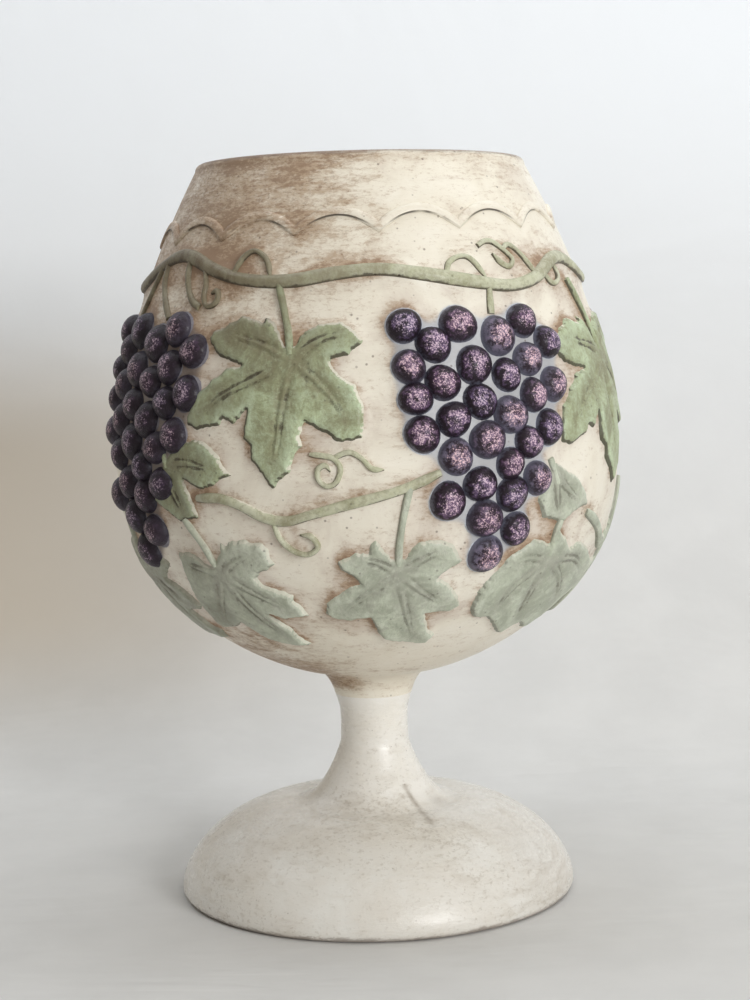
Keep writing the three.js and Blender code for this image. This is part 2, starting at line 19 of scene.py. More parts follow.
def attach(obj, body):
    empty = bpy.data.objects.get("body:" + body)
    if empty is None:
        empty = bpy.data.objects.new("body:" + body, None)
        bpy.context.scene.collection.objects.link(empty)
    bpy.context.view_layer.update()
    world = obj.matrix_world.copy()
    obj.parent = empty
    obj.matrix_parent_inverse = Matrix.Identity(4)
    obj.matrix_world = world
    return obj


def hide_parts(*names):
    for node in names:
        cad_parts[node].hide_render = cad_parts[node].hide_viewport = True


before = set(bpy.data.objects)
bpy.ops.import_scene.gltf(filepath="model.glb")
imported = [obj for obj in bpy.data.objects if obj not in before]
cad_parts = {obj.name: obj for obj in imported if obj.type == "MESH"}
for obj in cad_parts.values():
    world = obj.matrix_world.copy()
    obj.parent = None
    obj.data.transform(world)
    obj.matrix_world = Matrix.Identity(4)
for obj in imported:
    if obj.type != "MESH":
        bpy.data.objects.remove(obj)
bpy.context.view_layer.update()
MM = 0.001
MERGE_GAP = 0.02 * MM
print("nodes in the frame:", len(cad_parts))


# %% [markdown]
# ## The wall of the bowl
#
# All turned forms come from one profile, written as radius and height in millimetres. The
# wall above the belly draws in faster and faster, and the wall below it is a superellipse,
# which leaves the belly straight down and runs flat into the base.

# %% Profiles of the turned forms
BELLY = (82.0, 146.0)
BASE = (19.0, 74.0)
LIP = (51.0, 237.5)
LIP_ROUND = 2.5
WALL = 5.0
WALL_CURVE = 1.72
NECK = (12.8, 65.5)
HUB = (17.0, 37.0)


def swell(widest, narrowest, across, along, steps):
    """A quarter of a superellipse from the widest place to the narrowest."""
    share = np.linspace(0, 1, steps + 1)
    climb = np.sin(share * math.pi / 2) ** (2 / along)
    width = np.maximum(0, 1 - climb**along) ** (1 / across)
    radius = narrowest[0] + (widest[0] - narrowest[0]) * width
    return np.stack([radius, widest[1] + (narrowest[1] - widest[1]) * climb], 1)


def upper_wall(inset, steps):
    climb = np.linspace(0, 1, steps + 1)
    mouth = LIP[0] + LIP_ROUND
    radius = BELLY[0] - inset - (BELLY[0] - mouth) * climb**WALL_CURVE
    return np.stack([radius, BELLY[1] + (LIP[1] - BELLY[1]) * climb], 1)


def round_corner(centre, radius, start, end, steps):
    angle = np.radians(np.linspace(start, end, steps + 1))
    return np.stack([centre[0] + radius * np.cos(angle), centre[1] + radius * np.sin(angle)], 1)


def bend(start, corner, end, steps):
    """A curve from start to end that leans towards the corner."""
    share = np.linspace(0, 1, steps + 1)[:, None]
    start, corner, end = np.array([start, corner, end])
    return (1 - share) ** 2 * start + 2 * share * (1 - share) * corner + share**2 * end


lower_wall = swell(BELLY, BASE, 1.4, 2.3, 84)
print("wall below the belly ends at", lower_wall[-1])


# %% [markdown]
# ## Places on the wall
#
# The relief is drawn on a strip that wraps the wall from the mouth to the base. A place is
# [turn, drop]: degrees from the front towards +X, and steps of about a millimetre down
# from the mouth. Each piece is shaped flat, as a potter rolls and cuts clay on a board,
# and then laid round the bowl.

# %% From the strip to the wall
STEPS_DOWN = 205.0
wall_line = np.concatenate([upper_wall(0, 160)[::-1], lower_wall[1:]])
wall_steps = np.linalg.norm(np.diff(wall_line, axis=0), axis=1)
wall_run = np.concatenate([[0], np.cumsum(wall_steps)])
DROP_STEP = wall_run[-1] / STEPS_DOWN
wall_slope = np.gradient(wall_line, wall_run, axis=0)
wall_slope /= np.linalg.norm(wall_slope, axis=1)[:, None]


def at_drop(drop, table):
    return np.interp(np.asarray(drop) * DROP_STEP, wall_run, table)


def on_wall(turn, drop, lift):
    """Points in millimetres for arrays of turns, drops and heights above the wall."""
    radius = at_drop(drop, wall_line[:, 0]) - at_drop(drop, wall_slope[:, 1]) * lift
    height = at_drop(drop, wall_line[:, 1]) + at_drop(drop, wall_slope[:, 0]) * lift
    angle = np.radians(turn)
    return np.stack([radius * np.sin(angle), -radius * np.cos(angle), height], 1)


def degree_width(drop):
    return math.radians(float(at_drop(drop, wall_line[:, 0])))


def spoke_to(places, middle):
    """The flat position, in millimetres, of places round a middle place: x right, y up."""
    places = np.asarray(places, float)
    return np.stack([
        (places[..., 0] - middle[0]) * degree_width(middle[1]),
        -(places[..., 1] - middle[1]) * DROP_STEP,
    ], -1)


def place_at(middle, spokes):
    spokes = np.asarray(spokes, float)
    return np.stack([
        middle[0] + spokes[..., 0] / degree_width(middle[1]),
        middle[1] - spokes[..., 1] / DROP_STEP,
    ], -1)


print("one step down is", round(DROP_STEP, 3), "mm")


# %% [markdown]
# ## Helpers for the board
#
# Operators act on whatever is selected, so each new piece starts from a clean selection.
# A finished mesh is read and written as an array of points.

# %% Selection, points and attributes
def deselect_all():
    if bpy.context.object and bpy.context.object.mode != "OBJECT":
        bpy.ops.object.mode_set(mode="OBJECT")
    bpy.ops.object.select_all(action="DESELECT")


def pick(piece):
    deselect_all()
    piece.select_set(True)
    bpy.context.view_layer.objects.active = piece


def named(piece, name):
    piece.name = name
    piece.data.name = name
    return piece


def read_all(piece, what):
    flat = np.zeros(len(piece.data.vertices) * 3)
    piece.data.vertices.foreach_get(what, flat)
    return flat.reshape(-1, 3)


def points_of(piece):
    return read_all(piece, "co") / MM


def normals_of(piece):
    return read_all(piece, "normal")


def set_points(piece, points):
    piece.data.vertices.foreach_set("co", (points * MM).ravel())
    piece.data.update()


def note(piece, **notes):
    """Keep numbers for each point, or one for them all, which the paint reads later."""
    for name, values in notes.items():
        attribute = piece.data.attributes.get(name) or piece.data.attributes.new(name, "FLOAT", "POINT")
        every = np.broadcast_to(np.asarray(values, np.float32), len(piece.data.vertices))
        attribute.data.foreach_set("value", np.ascontiguousarray(every))


def join(name, pieces):
    pick(pieces[0])
    for piece in pieces[1:]:
        piece.select_set(True)
    if len(pieces) > 1:
        bpy.ops.object.join()
    return named(bpy.context.object, name)


def smooth_step(value, low, high):
    share = np.clip((value - low) / (high - low), 0, 1)
    return share * share * (3 - 2 * share)


print("helpers ready")


# %% [markdown]
# ## Throwing the pot
#
# On the wheel, the pot is one profile turned about an axis. In Blender that is Spin: a tiny
# disc is merged to one point, the point is drawn along the profile by extrusion, and the
# line is spun a full turn. Points on the axis fall together, and merging closes the poles.

# %% A drawn line and a turned piece
def draw_line(name, line):
    """A new piece that is one line of edges, left selected in Edit Mode."""
    deselect_all()
    bpy.ops.mesh.primitive_circle_add(vertices=3, radius=MM)
    piece = named(bpy.context.object, name)
    bpy.ops.object.mode_set(mode="EDIT")
    bpy.ops.mesh.select_all(action="SELECT")
    bpy.ops.mesh.merge(type="CENTER")
    line = np.array(line)
    bpy.ops.transform.translate(value=tuple(line[0] * MM))
    for step in np.diff(line, axis=0) * MM:
        bpy.ops.mesh.extrude_region_move(TRANSFORM_OT_translate={"value": tuple(step)})
    bpy.ops.mesh.select_all(action="SELECT")
    return piece


def turned(name, profile, sides):
    piece = draw_line(name, [(radius, 0, height) for radius, height in profile])
    bpy.ops.mesh.spin(steps=sides, angle=math.tau, center=(0, 0, 0), axis=(0, 0, 1))
    bpy.ops.mesh.select_all(action="SELECT")
    bpy.ops.mesh.remove_doubles(threshold=MERGE_GAP)
    bpy.ops.mesh.normals_make_consistent(inside=False)
    bpy.ops.object.mode_set(mode="OBJECT")
    bpy.ops.object.shade_smooth_by_angle(angle=math.radians(40))
    print(name, len(piece.data.polygons), "faces")
    return piece


# %% Bowl, stem and foot
BOWL_SIDES = 360
neck = bend(NECK, (14.6, 72.2), BASE, 8)
inside = np.concatenate([
    upper_wall(WALL, 24)[::-1],
    swell((BELLY[0] - WALL, BELLY[1]), (0, 81), 1.6, 2.2, 24)[1:],
])
bowl_profile = np.concatenate([
    [(0, NECK[1])],
    neck,
    lower_wall[::-1][1:],
    upper_wall(0, 78)[1:],
    round_corner(LIP, LIP_ROUND, 0, 180, 10)[1:-1],
    inside,
])
bowl = turned("thrown_bowl", bowl_profile, BOWL_SIDES)

WAIST = (11.4, 49.0)
ABOVE_WAIST = (11.3, 60.5)
STEM_SIDES = 128
stem_profile = np.concatenate([
    [(0, HUB[1])],
    bend(HUB, (13.9, 41.6), WAIST, 12),
    bend(WAIST, (10.9, 55.5), ABOVE_WAIST, 10)[1:],
    bend(ABOVE_WAIST, (11.9, 63.0), NECK, 6)[1:],
    [(0, NECK[1])],
])
stem = turned("thrown_stem", stem_profile, STEM_SIDES)

FOOT_EDGE = 65.4
EDGE_ROUND = 2.5
DOME_TOP = (27, 29.5)
FOOT_SIDES = 192
foot_profile = np.concatenate([
    swell((58.4, EDGE_ROUND), (0, 23.5), 1.95, 1.75, 24)[::-1],
    [(58.4, 0.6), (59.0, 0.0), (60.6, 0.0)],
    round_corner((FOOT_EDGE - EDGE_ROUND, EDGE_ROUND), EDGE_ROUND, -90, 0, 8),
    swell((FOOT_EDGE, EDGE_ROUND), DOME_TOP, 1.95, 1.75, 48)[1:],
    bend(DOME_TOP, (20.3, 30.8), HUB, 16)[1:],
    [(0, HUB[1])],
])
foot = turned("thrown_foot", foot_profile, FOOT_SIDES)


# %% [markdown]
# ## What the hand leaves
#
# No thrown pot is perfectly round. A slow swell of a few tenths of a millimetre bends the
# reflections, as on the real one, without changing a size that matters.

# %% A slow wobble
def wobble(piece, amount, seed):
    points = points_of(piece)
    angle = np.arctan2(points[:, 0], -points[:, 1])
    height = points[:, 2]
    swing = (
        np.sin(2 * angle + height / 37 + seed)
        + 0.6 * np.sin(3 * angle - height / 23 + 2 * seed)
        + 0.4 * np.sin(5 * angle + height / 11 + 3 * seed)
    )
    inwards = -amount * (1 + swing / 2) / 2
    radius = np.hypot(points[:, 0], points[:, 1])
    quiet = smooth_step(radius, 12, 30) * smooth_step(height, 3, 12)
    points[:, :2] *= (1 + inwards * quiet / np.maximum(radius, 1))[:, None]
    set_points(piece, points)


wobble(foot, amount=0.5, seed=1.0)
print("foot wobbles by half a millimetre")


# %% [markdown]
# ## Clay shapes on the board
#
# A leaf is cut from a rolled sheet: a filled circle with as many corners as the outline has
# is pulled to the outline, extruded to the sheet's thickness, and remeshed so that its
# surface can be pressed. The veins are then pressed in: a low ridge with a groove on each
# side. Five notes are kept for the paint: how deep a point lies in a groove, how near it is
# to a vein, how far it is from the leaf's edge, and whether it is on the side of the edge
# that looks to the upper right, towards the lamp, which was wiped bare and gets a painted
# highlight, or on the other, where stain stays and painted shade is laid.

# %% Distances and lines on the board
TEAR_STEP = 0.8
TEAR_DEPTH = 0.24


def nearest_on(points, lines):
    """For each point: the distance to the nearest line, the way from it, and the share along it."""
    nearest = np.full(len(points), 1e9)
    away = np.zeros((len(points), 2))
    along_line = np.zeros(len(points))
    for line in lines:
        runs = np.linalg.norm(np.diff(line, axis=0), axis=1)
        passed = np.concatenate([[0], np.cumsum(runs)])
        for start, end, before, run in zip(line[:-1], line[1:], passed, runs):
            along = end - start
            share = np.clip(((points - start) @ along) / max(along @ along, 1e-9), 0, 1)
            way = points - start - share[:, None] * along
            gap = np.hypot(*way.T)
            closer = gap < nearest
            nearest[closer] = gap[closer]
            away[closer] = way[closer] / np.maximum(gap[closer], 1e-6)[:, None]
            along_line[closer] = ((before + share * run) / passed[-1])[closer]
    return nearest, away, along_line


def inside_of(points, outline):
    """Which points lie inside the outline: a ray from them crosses it an odd number of times."""
    crossings = np.zeros(len(points), bool)
    for start, end in zip(outline, np.roll(outline, -1, axis=0)):
        spans = (start[1] > points[:, 1]) != (end[1] > points[:, 1])
        rise = end[1] - start[1]
        cross = start[0] + (points[:, 1] - start[1]) * (end[0] - start[0]) / (rise if rise else 1e-9)
        crossings ^= spans & (points[:, 0] < cross)
    return crossings


def eased(line, steps):
    """A smooth line through the given points (Catmull-Rom)."""
    line = np.asarray(line, float)
    padded = np.concatenate([[2 * line[0] - line[1]], line, [2 * line[-1] - line[-2]]])
    share = np.linspace(0, 1, steps, endpoint=False)[:, None]
    runs = []
    for a, b, c, d in zip(padded, padded[1:], padded[2:], padded[3:]):
        runs.append(0.5 * (
            2 * b + (c - a) * share + (2 * a - 5 * b + 4 * c - d) * share**2
            + (3 * b - a - 3 * c + d) * share**3
        ))
    return np.concatenate(runs + [line[-1:]])


def ragged(outline, seed):
    """The outline with a point at each tear, a little off the line, as torn clay is."""
    chance = np.random.default_rng(seed)
    torn = []
    for start, end in zip(outline, np.roll(outline, -1, axis=0)):
        along = end - start
        run = np.linalg.norm(along)
        across = np.array([along[1], -along[0]]) / max(run, 1e-6)
        torn.append(start)
        for share in np.arange(TEAR_STEP, run - TEAR_STEP / 2, TEAR_STEP) / max(run, 1e-6):
            torn.append(start + share * along + across * chance.uniform(-TEAR_DEPTH, TEAR_DEPTH))
    return np.array(torn)


def side_veins(vein):
    """Short branches that leave a vein on both sides, leaning towards its tip."""
    branches = []
    for share, length in ((0.32, 5.5), (0.52, 5.0), (0.7, 3.6)):
        spot = vein[int(share * (len(vein) - 1))]
        ahead = vein[min(len(vein) - 1, int(share * (len(vein) - 1)) + 2)] - spot
        ahead /= max(np.linalg.norm(ahead), 1e-6)
        for side in (-1, 1):
            across = np.array([-ahead[1], ahead[0]]) * side
            branches.append(np.array([spot, spot + length * (0.66 * ahead + 0.75 * across)]))
    return branches


print("distance helpers ready")

# %% Cut, press and lay a leaf
SHEET = 2.4
SINK = 0.6
LEAF_RISE = 1.75
CLAY_GRAIN = 0.5
LIT_AND_BARE_SIDE = np.array([0.62, 0.78])


def cut_sheet(name, outline):
    deselect_all()
    bpy.ops.mesh.primitive_circle_add(vertices=len(outline), radius=MM, fill_type="NGON")
    piece = named(bpy.context.object, name)
    set_points(piece, np.concatenate([outline, np.full((len(outline), 1), -SINK)], 1))
    bpy.ops.object.mode_set(mode="EDIT")
    bpy.ops.mesh.select_all(action="SELECT")
    bpy.ops.mesh.extrude_region_move(TRANSFORM_OT_translate={"value": (0, 0, SHEET * MM)})
    bpy.ops.mesh.select_all(action="SELECT")
    bpy.ops.mesh.normals_make_consistent(inside=False)
    bpy.ops.object.mode_set(mode="OBJECT")
    bpy.ops.object.modifier_add(type="REMESH")
    remesh = piece.modifiers[-1]
    remesh.mode = "VOXEL"
    remesh.voxel_size = CLAY_GRAIN * MM
    bpy.ops.object.modifier_apply(modifier=remesh.name)
    return piece


def lay_on_wall(piece, middle):
    points = points_of(piece)
    places = place_at(middle, points[:, :2])
    set_points(piece, on_wall(places[:, 0], places[:, 1], points[:, 2]))
    pick(piece)
    bpy.ops.object.shade_smooth()


def leaf(name, shape):
    middle = shape["middle"]
    outline = ragged(spoke_to(shape["outline"], middle), len(name))
    rim = np.concatenate([outline, outline[:1]])
    piece = cut_sheet(name, outline)
    points = points_of(piece)
    flat = points[:, :2]
    inside = inside_of(flat, outline)
    edge, way_in, _ = nearest_on(flat, [rim])
    edge = np.where(inside, edge, 0)
    outwards = np.where(inside[:, None], -way_in, way_in)
    veins = [eased(spoke_to(vein, middle), 4) for vein in shape["veins"]]
    groove = np.zeros(len(points))
    ridge = np.zeros(len(points))
    valley = np.zeros(len(points))
    for vein in veins:
        gap, _, share = nearest_on(flat, [vein])
        half = 1.45 * (1 - 0.7 * share)
        shown = smooth_step(share, 0.1, 0.34) * (1 - smooth_step(share, 0.7, 0.98))
        groove = np.maximum(groove, shown * np.exp(-(((gap - half) / 0.5) ** 2)))
        crest_here = np.exp(-((gap / (0.75 * half)) ** 2))
        ridge = np.maximum(ridge, (1 - smooth_step(share, 0.8, 1)) * crest_here)
        valley = np.maximum(valley, (1 - 0.5 * share) * np.exp(-((gap / 3.4) ** 2)))
    branches = [branch for vein in veins for branch in side_veins(vein)]
    gap, _, share = nearest_on(flat, branches)
    crease = np.exp(-((gap / 0.4) ** 2)) * smooth_step(share, 0.1, 0.3)
    crease *= 1 - smooth_step(share, 0.5, 1)
    inland = smooth_step(edge, 0.4, 1.8)
    groove *= inland
    crest = LEAF_RISE * (0.3 + 0.7 * smooth_step(edge, -0.2, 1.7))
    crest -= 0.45 * valley * inland
    crest += 0.3 * ridge * inland
    crest -= 0.3 * groove + 0.12 * crease * inland
    share_up = (points[:, 2] + SINK) / SHEET
    points[:, 2] = -SINK + (crest + SINK) * share_up
    set_points(piece, points)
    # Edges towards the upper right are bare cream with a painted highlight; the others hold stain and
    # painted shade.
    facing = outwards @ LIT_AND_BARE_SIDE
    note(
        piece,
        groove=np.clip(groove + 0.3 * crease, 0, 1),
        valley=valley,
        edge=np.minimum(edge, 8),
        bare=(1 - smooth_step(edge, 0.55, 1.35)) * np.clip(facing + 0.1, 0, 1),
        stained=(1 - smooth_step(edge, 0.4, 1.3)) * np.clip(0.2 - facing, 0, 1),
    )
    lay_on_wall(piece, middle)
    return piece


# %% [markdown]
# ## The leaves
#
# The four large leaves are the same mould, used four times, so one outline serves them all.
# The low leaves are smaller and each has its own lean. The outlines run clockwise from
# the stalk.

# %% Outlines of the leaves
vine_leaf = {
    "middle": (-16, 67),
    "outline": [
        (-17.3, 61), (-19, 56.5), (-20.5, 53.5), (-22.5, 52), (-23, 54), (-25, 53), (-27, 51.7),
        (-29, 51.7), (-30, 53), (-32, 53.5), (-33, 55), (-36, 56), (-37, 58), (-36.5, 60), (-35, 62),
        (-34, 63.5), (-31.5, 65), (-27.5, 67), (-31, 67.5), (-32.5, 69.5), (-35, 71), (-36, 73),
        (-38.5, 75), (-39.5, 78), (-41, 82), (-41, 85), (-38, 86.5), (-35, 85.5), (-32, 85), (-31, 83),
        (-28.5, 84.5), (-25.5, 80.5), (-26, 86), (-26, 89), (-24.3, 91), (-24.3, 95), (-22.5, 98),
        (-21.5, 100), (-19.6, 104), (-18, 101), (-15.8, 99), (-15, 95), (-13.8, 92), (-13, 91),
        (-13.5, 88), (-12.5, 84), (-9, 87), (-7.5, 88), (-6, 90), (-3, 90), (-0.8, 89), (-0.3, 85),
        (-0.2, 80), (-1, 77), (-2, 73), (-4, 71.5), (-6, 69), (-7, 67), (-7, 65.5), (-5.5, 65),
        (-3.5, 64.5), (-2, 62.5), (-0.5, 61), (0, 60), (-1.5, 57.5), (-3, 55.5), (-5, 54), (-8, 54.3),
        (-10, 54.7), (-12, 56), (-14, 58), (-15, 61),
    ],
    "veins": [
        [(-15.8, 66), (-21, 62), (-26, 59.5), (-31, 57.5)],
        [(-15.8, 66), (-11, 61), (-7, 58.5), (-3, 58.5)],
        [(-15.8, 66), (-11, 71), (-7, 77), (-3.5, 84)],
        [(-15.8, 66), (-17.3, 78), (-18.3, 90), (-19.2, 98)],
        [(-15.8, 66), (-24, 71.5), (-31, 76), (-37, 82)],
    ],
    "stalk": [(-20.3, 41), (-18.9, 47), (-17.8, 52), (-16.8, 57), (-16, 64)],
}
low_leaf_middle = {
    "middle": (6.2, 135),
    "outline": [
        (4.8, 126), (1.5, 119.7), (0.3, 121.5), (0, 124), (-3, 123.7), (-4.3, 125), (-6.8, 126.5),
        (-6.5, 129), (-5, 130.5), (-3.5, 132), (-2.2, 134.5), (-4.5, 135.5), (-6.5, 137.5),
        (-8.5, 139.5), (-10.5, 142), (-11.5, 146.5), (-9.5, 148.8), (-5.5, 150), (-3, 149),
        (-0.2, 148.7), (0.8, 152), (1.8, 156), (3.5, 160), (6, 161.2), (10, 162), (14, 163.3),
        (17, 163.3), (19, 159), (16, 155.5), (15, 151.5), (14, 147.8), (16, 147.5), (20.5, 147.5),
        (23, 145.5), (21.5, 141), (19.5, 137.5), (18, 135.5), (15.5, 133.5), (18, 130.5), (21, 128),
        (19.5, 125), (18, 122), (15.5, 120.5), (12.5, 120.5), (10.5, 121), (9, 123), (7.8, 126),
    ],
    "veins": [
        [(6.2, 131), (2, 127), (-2, 125.5)],
        [(6.2, 131), (12, 126), (16, 124)],
        [(6.2, 131), (12, 138), (18, 143.5)],
        [(6.2, 131), (8.5, 145), (12, 159)],
        [(6.2, 131), (-1, 138.5), (-7, 145)],
    ],
    "stalk": [(8.7, 103.5), (7.8, 109), (7, 115), (6.5, 121), (6.3, 128)],
}
low_leaf_left = {
    "middle": (-36, 134),
    "outline": [
        (-34.5, 124.5), (-34, 121), (-32.5, 122), (-31.5, 120.5), (-27.5, 119.5), (-26, 120.5),
        (-23.5, 120.5), (-22, 122.5), (-22, 125), (-21, 127.5), (-23, 129.5), (-25, 130.5),
        (-26.5, 132.5), (-25.5, 135), (-23, 136.5), (-20, 138), (-18.5, 139), (-18.8, 141),
        (-17, 144), (-16, 148), (-19, 148.5), (-23, 149.5), (-27, 147.5), (-22.5, 155), (-22, 158),
        (-19, 163.5), (-24, 164), (-29, 162.5), (-33, 160.5), (-36, 156), (-38, 152.5), (-42, 155.5),
        (-48, 157), (-50, 153), (-49.5, 150), (-50, 143), (-49, 137), (-48, 125.5), (-44, 125),
        (-41.5, 126.5), (-40, 128.5), (-37.5, 129),
    ],
    "veins": [
        [(-36, 132), (-31, 127), (-26, 124)],
        [(-36, 132), (-28, 138.5), (-21, 144.5)],
        [(-36, 132), (-31, 146), (-25, 158)],
        [(-36, 132), (-40, 143), (-44, 152)],
        [(-36, 132), (-42, 130), (-46, 128.5)],
    ],
    "stalk": [(-42.5, 114), (-40.5, 118), (-38.5, 122.5), (-36.6, 129)],
}
low_leaf_right = {
    "middle": (45, 134),
    "outline": [
        (46, 120), (48, 122.5), (50, 124), (51.5, 126.5), (53, 128), (56, 126.5), (58, 126.8), (60, 128),
        (63, 129.5), (66, 132), (69, 133.5), (72, 137), (71.5, 142), (70, 147), (66, 150), (64.5, 154),
        (62, 158), (59.5, 160), (57, 163), (53, 160), (50, 158), (47.5, 159.5), (44, 163), (41, 160.5),
        (38, 157), (35, 154), (33, 152), (29.5, 152), (27.5, 150), (26.5, 147), (27, 140), (29.5, 134),
        (33, 128), (36, 125.5), (39, 123), (42, 124), (44, 125),
    ],
    "veins": [
        [(44.5, 131), (44, 145), (46, 156)],
        [(44.5, 131), (37, 139), (34, 148)],
        [(44.5, 131), (53, 138), (61, 150)],
        [(44.5, 131), (56, 132), (66, 139)],
        [(44.5, 131), (38, 129), (34, 131)],
    ],
    "stalk": [(46, 117.5), (45.2, 122), (45, 129)],
}
small_leaf_left = {
    "middle": (-43.5, 101),
    "outline": [
        (-41, 90), (-38, 89.5), (-36, 90), (-34, 91.5), (-32, 94), (-31, 97), (-29, 100), (-32, 101.5),
        (-34, 103.5), (-37, 104.5), (-41.5, 101.8), (-41, 104), (-39, 109), (-38.5, 113.5), (-44, 115),
        (-48, 112), (-52, 109), (-51, 104), (-50, 100), (-46, 94),
    ],
    "veins": [[(-47, 98), (-41, 96.5), (-33, 98.5)], [(-47, 98), (-45, 105), (-42, 112)]],
    "stalk": [(-48.5, 92), (-47.5, 95), (-46.5, 98.5)],
}
small_leaf_right = {
    "middle": (45, 109),
    "outline": [
        (43.5, 99.5), (48, 103), (50, 104), (52, 106), (54, 109), (56, 114), (52, 115), (49.5, 116.5),
        (47, 119), (44, 117.5), (40, 116), (38, 110), (40, 103),
    ],
    "veins": [[(43, 103), (47, 108), (52, 113)], [(43, 103), (43.5, 109), (44.5, 116)]],
    "stalk": [(41.5, 98), (42.5, 102), (43.5, 106)],
}


def moved(shape, middle, lean, size):
    """The shape at a new middle place, leaned clockwise by some degrees and resized."""
    angle = math.radians(lean)
    turn = np.array([[math.cos(angle), math.sin(angle)], [-math.sin(angle), math.cos(angle)]])

    def move(places):
        return place_at(middle, spoke_to(places, shape["middle"]) * size @ turn.T)

    return {
        "middle": middle,
        "outline": move(shape["outline"]),
        "veins": [move(vein) for vein in shape["veins"]],
        "stalk": move(shape["stalk"]),
    }


leaves = {
    "vine_leaf_middle": vine_leaf,
    "vine_leaf_right": moved(vine_leaf, (70, 69), -8, 1.08),
    "small_leaf_left": small_leaf_left,
    "small_leaf_right": small_leaf_right,
    "low_leaf_right": low_leaf_right,
    "low_leaf_middle": low_leaf_middle,
    "low_leaf_left": low_leaf_left,
    "low_leaf_far_right": moved(low_leaf_middle, (84, 137), 8, 0.9),
    "low_leaf_far_left": moved(low_leaf_middle, (-68, 139), -6, 0.95),
}
print(len(leaves), "leaves on each side")


# %% [markdown]
# ## Vines, stalks and tendrils
#
# A vine is a thin roll of clay, pressed half flat. Here it is a curve with a round bevel,
# thinner where a tendril runs out, made a mesh and flattened on the board.

# %% A roll of clay
def roll(name, way, width, rise=1.6, taper=(1, 1), steps=8, closed=False):
    way = np.asarray(way, float)
    middle = (way[:, 0].mean(), way[:, 1].mean())
    line = eased(spoke_to(way, middle), steps)
    deselect_all()
    bpy.ops.curve.primitive_nurbs_path_add()
    piece = bpy.context.object
    piece.name = name
    curve = piece.data
    curve.splines.clear()
    spline = curve.splines.new("POLY")
    spline.points.add(len(line) - 1)
    run = np.linspace(0, 1, len(line))
    for point, spot, share in zip(spline.points, line, run):
        point.co = (spot[0] * MM, spot[1] * MM, 0, 1)
        swell_here = 1 + 0.06 * math.sin(9 * share + 0.13 * spot[0])
        ends = min(1.0, taper[0] + 6 * share) * min(1.0, taper[1] + 5 * (1 - share))
        point.radius = swell_here * ends
    curve.dimensions = "3D"
    curve.twist_mode = "Z_UP"
    curve.bevel_depth = width / 2 * MM
    curve.bevel_resolution = 4
    curve.use_fill_caps = not closed
    bpy.ops.object.convert(target="MESH")
    points = points_of(piece)
    facing = normals_of(piece)[:, :2] @ LIT_AND_BARE_SIDE
    upright = points[:, 2] / (width / 2)
    points[:, 2] = np.sign(upright) * np.abs(upright) ** 0.8 * rise + 0.1
    set_points(piece, points)
    # Low sides towards the lamp get a painted highlight on bare clay; the others get stain and painted
    # shade.
    low = 1 - smooth_step(upright, 0.25, 0.75)
    bare = low * np.clip(facing, 0, 1)
    stained = low * np.clip(0.7 - facing, 0, 1)
    note(piece, groove=0, valley=0, edge=np.maximum(0, upright) * 3, bare=bare, stained=stained)
    lay_on_wall(piece, middle)
    return piece


# %% Where the vines run
VINE_WIDTH = 4.4
LOWER_VINE_WIDTH = 3.2
STALK_WIDTH = 2.4
LEAF_STALK_WIDTH = 2.3
TENDRIL_WIDTH = 1.8
upper_vine_way = [
    (-90, 41), (-78, 40), (-66, 35), (-57, 31.6), (-50, 31.8), (-40, 36.5), (-30, 40), (-18, 41),
    (-6, 38.9), (4, 38), (14, 39.6), (25, 42), (37, 44), (47, 41.8), (57, 35.8), (64, 34.7),
    (72, 37.4), (80, 40.5),
]
bunch_stalks = [
    [(31.5, 42), (31.3, 46), (30.5, 53)],
    [(-64, 35), (-67, 43), (-70, 52)],
    [(-61, 34), (-60.3, 39.5), (-57.5, 45), (-53, 52)],
    [(-50, 33), (-49.3, 38), (-47.6, 42.5), (-45, 46.5), (-42, 48.6)],
]
upper_tendrils = [
    [(-33.5, 38.5), (-31.5, 33.5), (-29, 31), (-26.5, 31.5), (-24, 34.5), (-22.5, 40)],
    [
        (-43, 36), (-41.5, 41), (-41.3, 45), (-40, 48), (-37.8, 48), (-36.6, 45.8), (-37.3, 43.5),
        (-39, 44.2),
    ],
    [(20.5, 40.5), (22, 36.2), (25.5, 34.3), (28.5, 35.8), (31.5, 42)],
    [(31, 31), (33.5, 29.5), (36, 29.8), (39, 32.5), (41, 35.5), (39.5, 37.8), (37, 36.6), (35, 33.5)],
    [(38.8, 32), (41, 30.6), (43.5, 32.4), (46, 36), (48.5, 41)],
    [(51, 39), (53.5, 43), (56.5, 43.2), (58.2, 40.6), (57.4, 36.5)],
]
lower_vine_way = [
    (-38, 107.2), (-32, 107), (-27, 109), (-22, 112.3), (-17, 113.5), (-11, 111.3), (-4, 108.6),
    (3, 106.2), (9, 103.6), (15, 100),
]
lower_tendril = [
    (-20, 113), (-18.8, 119), (-16, 123), (-13, 124), (-10.8, 121.6), (-12, 118.3), (-14.4, 117.8),
]
far_vine_way = [(56, 116.5), (60, 119), (65, 123), (70, 128), (74, 131)]
curl = [
    (-11.5, 93.6), (-9, 94), (-6.5, 95), (-5.3, 98), (-6.3, 102), (-8.2, 103), (-9.8, 101),
    (-9.8, 98), (-8.3, 96.9), (-7.3, 98.8),
]
curl_tail = [(-6.8, 94.8), (-3.5, 93.2), (-1, 95), (1, 98), (3.5, 98.5)]


def swung(places, swing):
    return [(place[0] + swing, *place[1:]) for place in places]


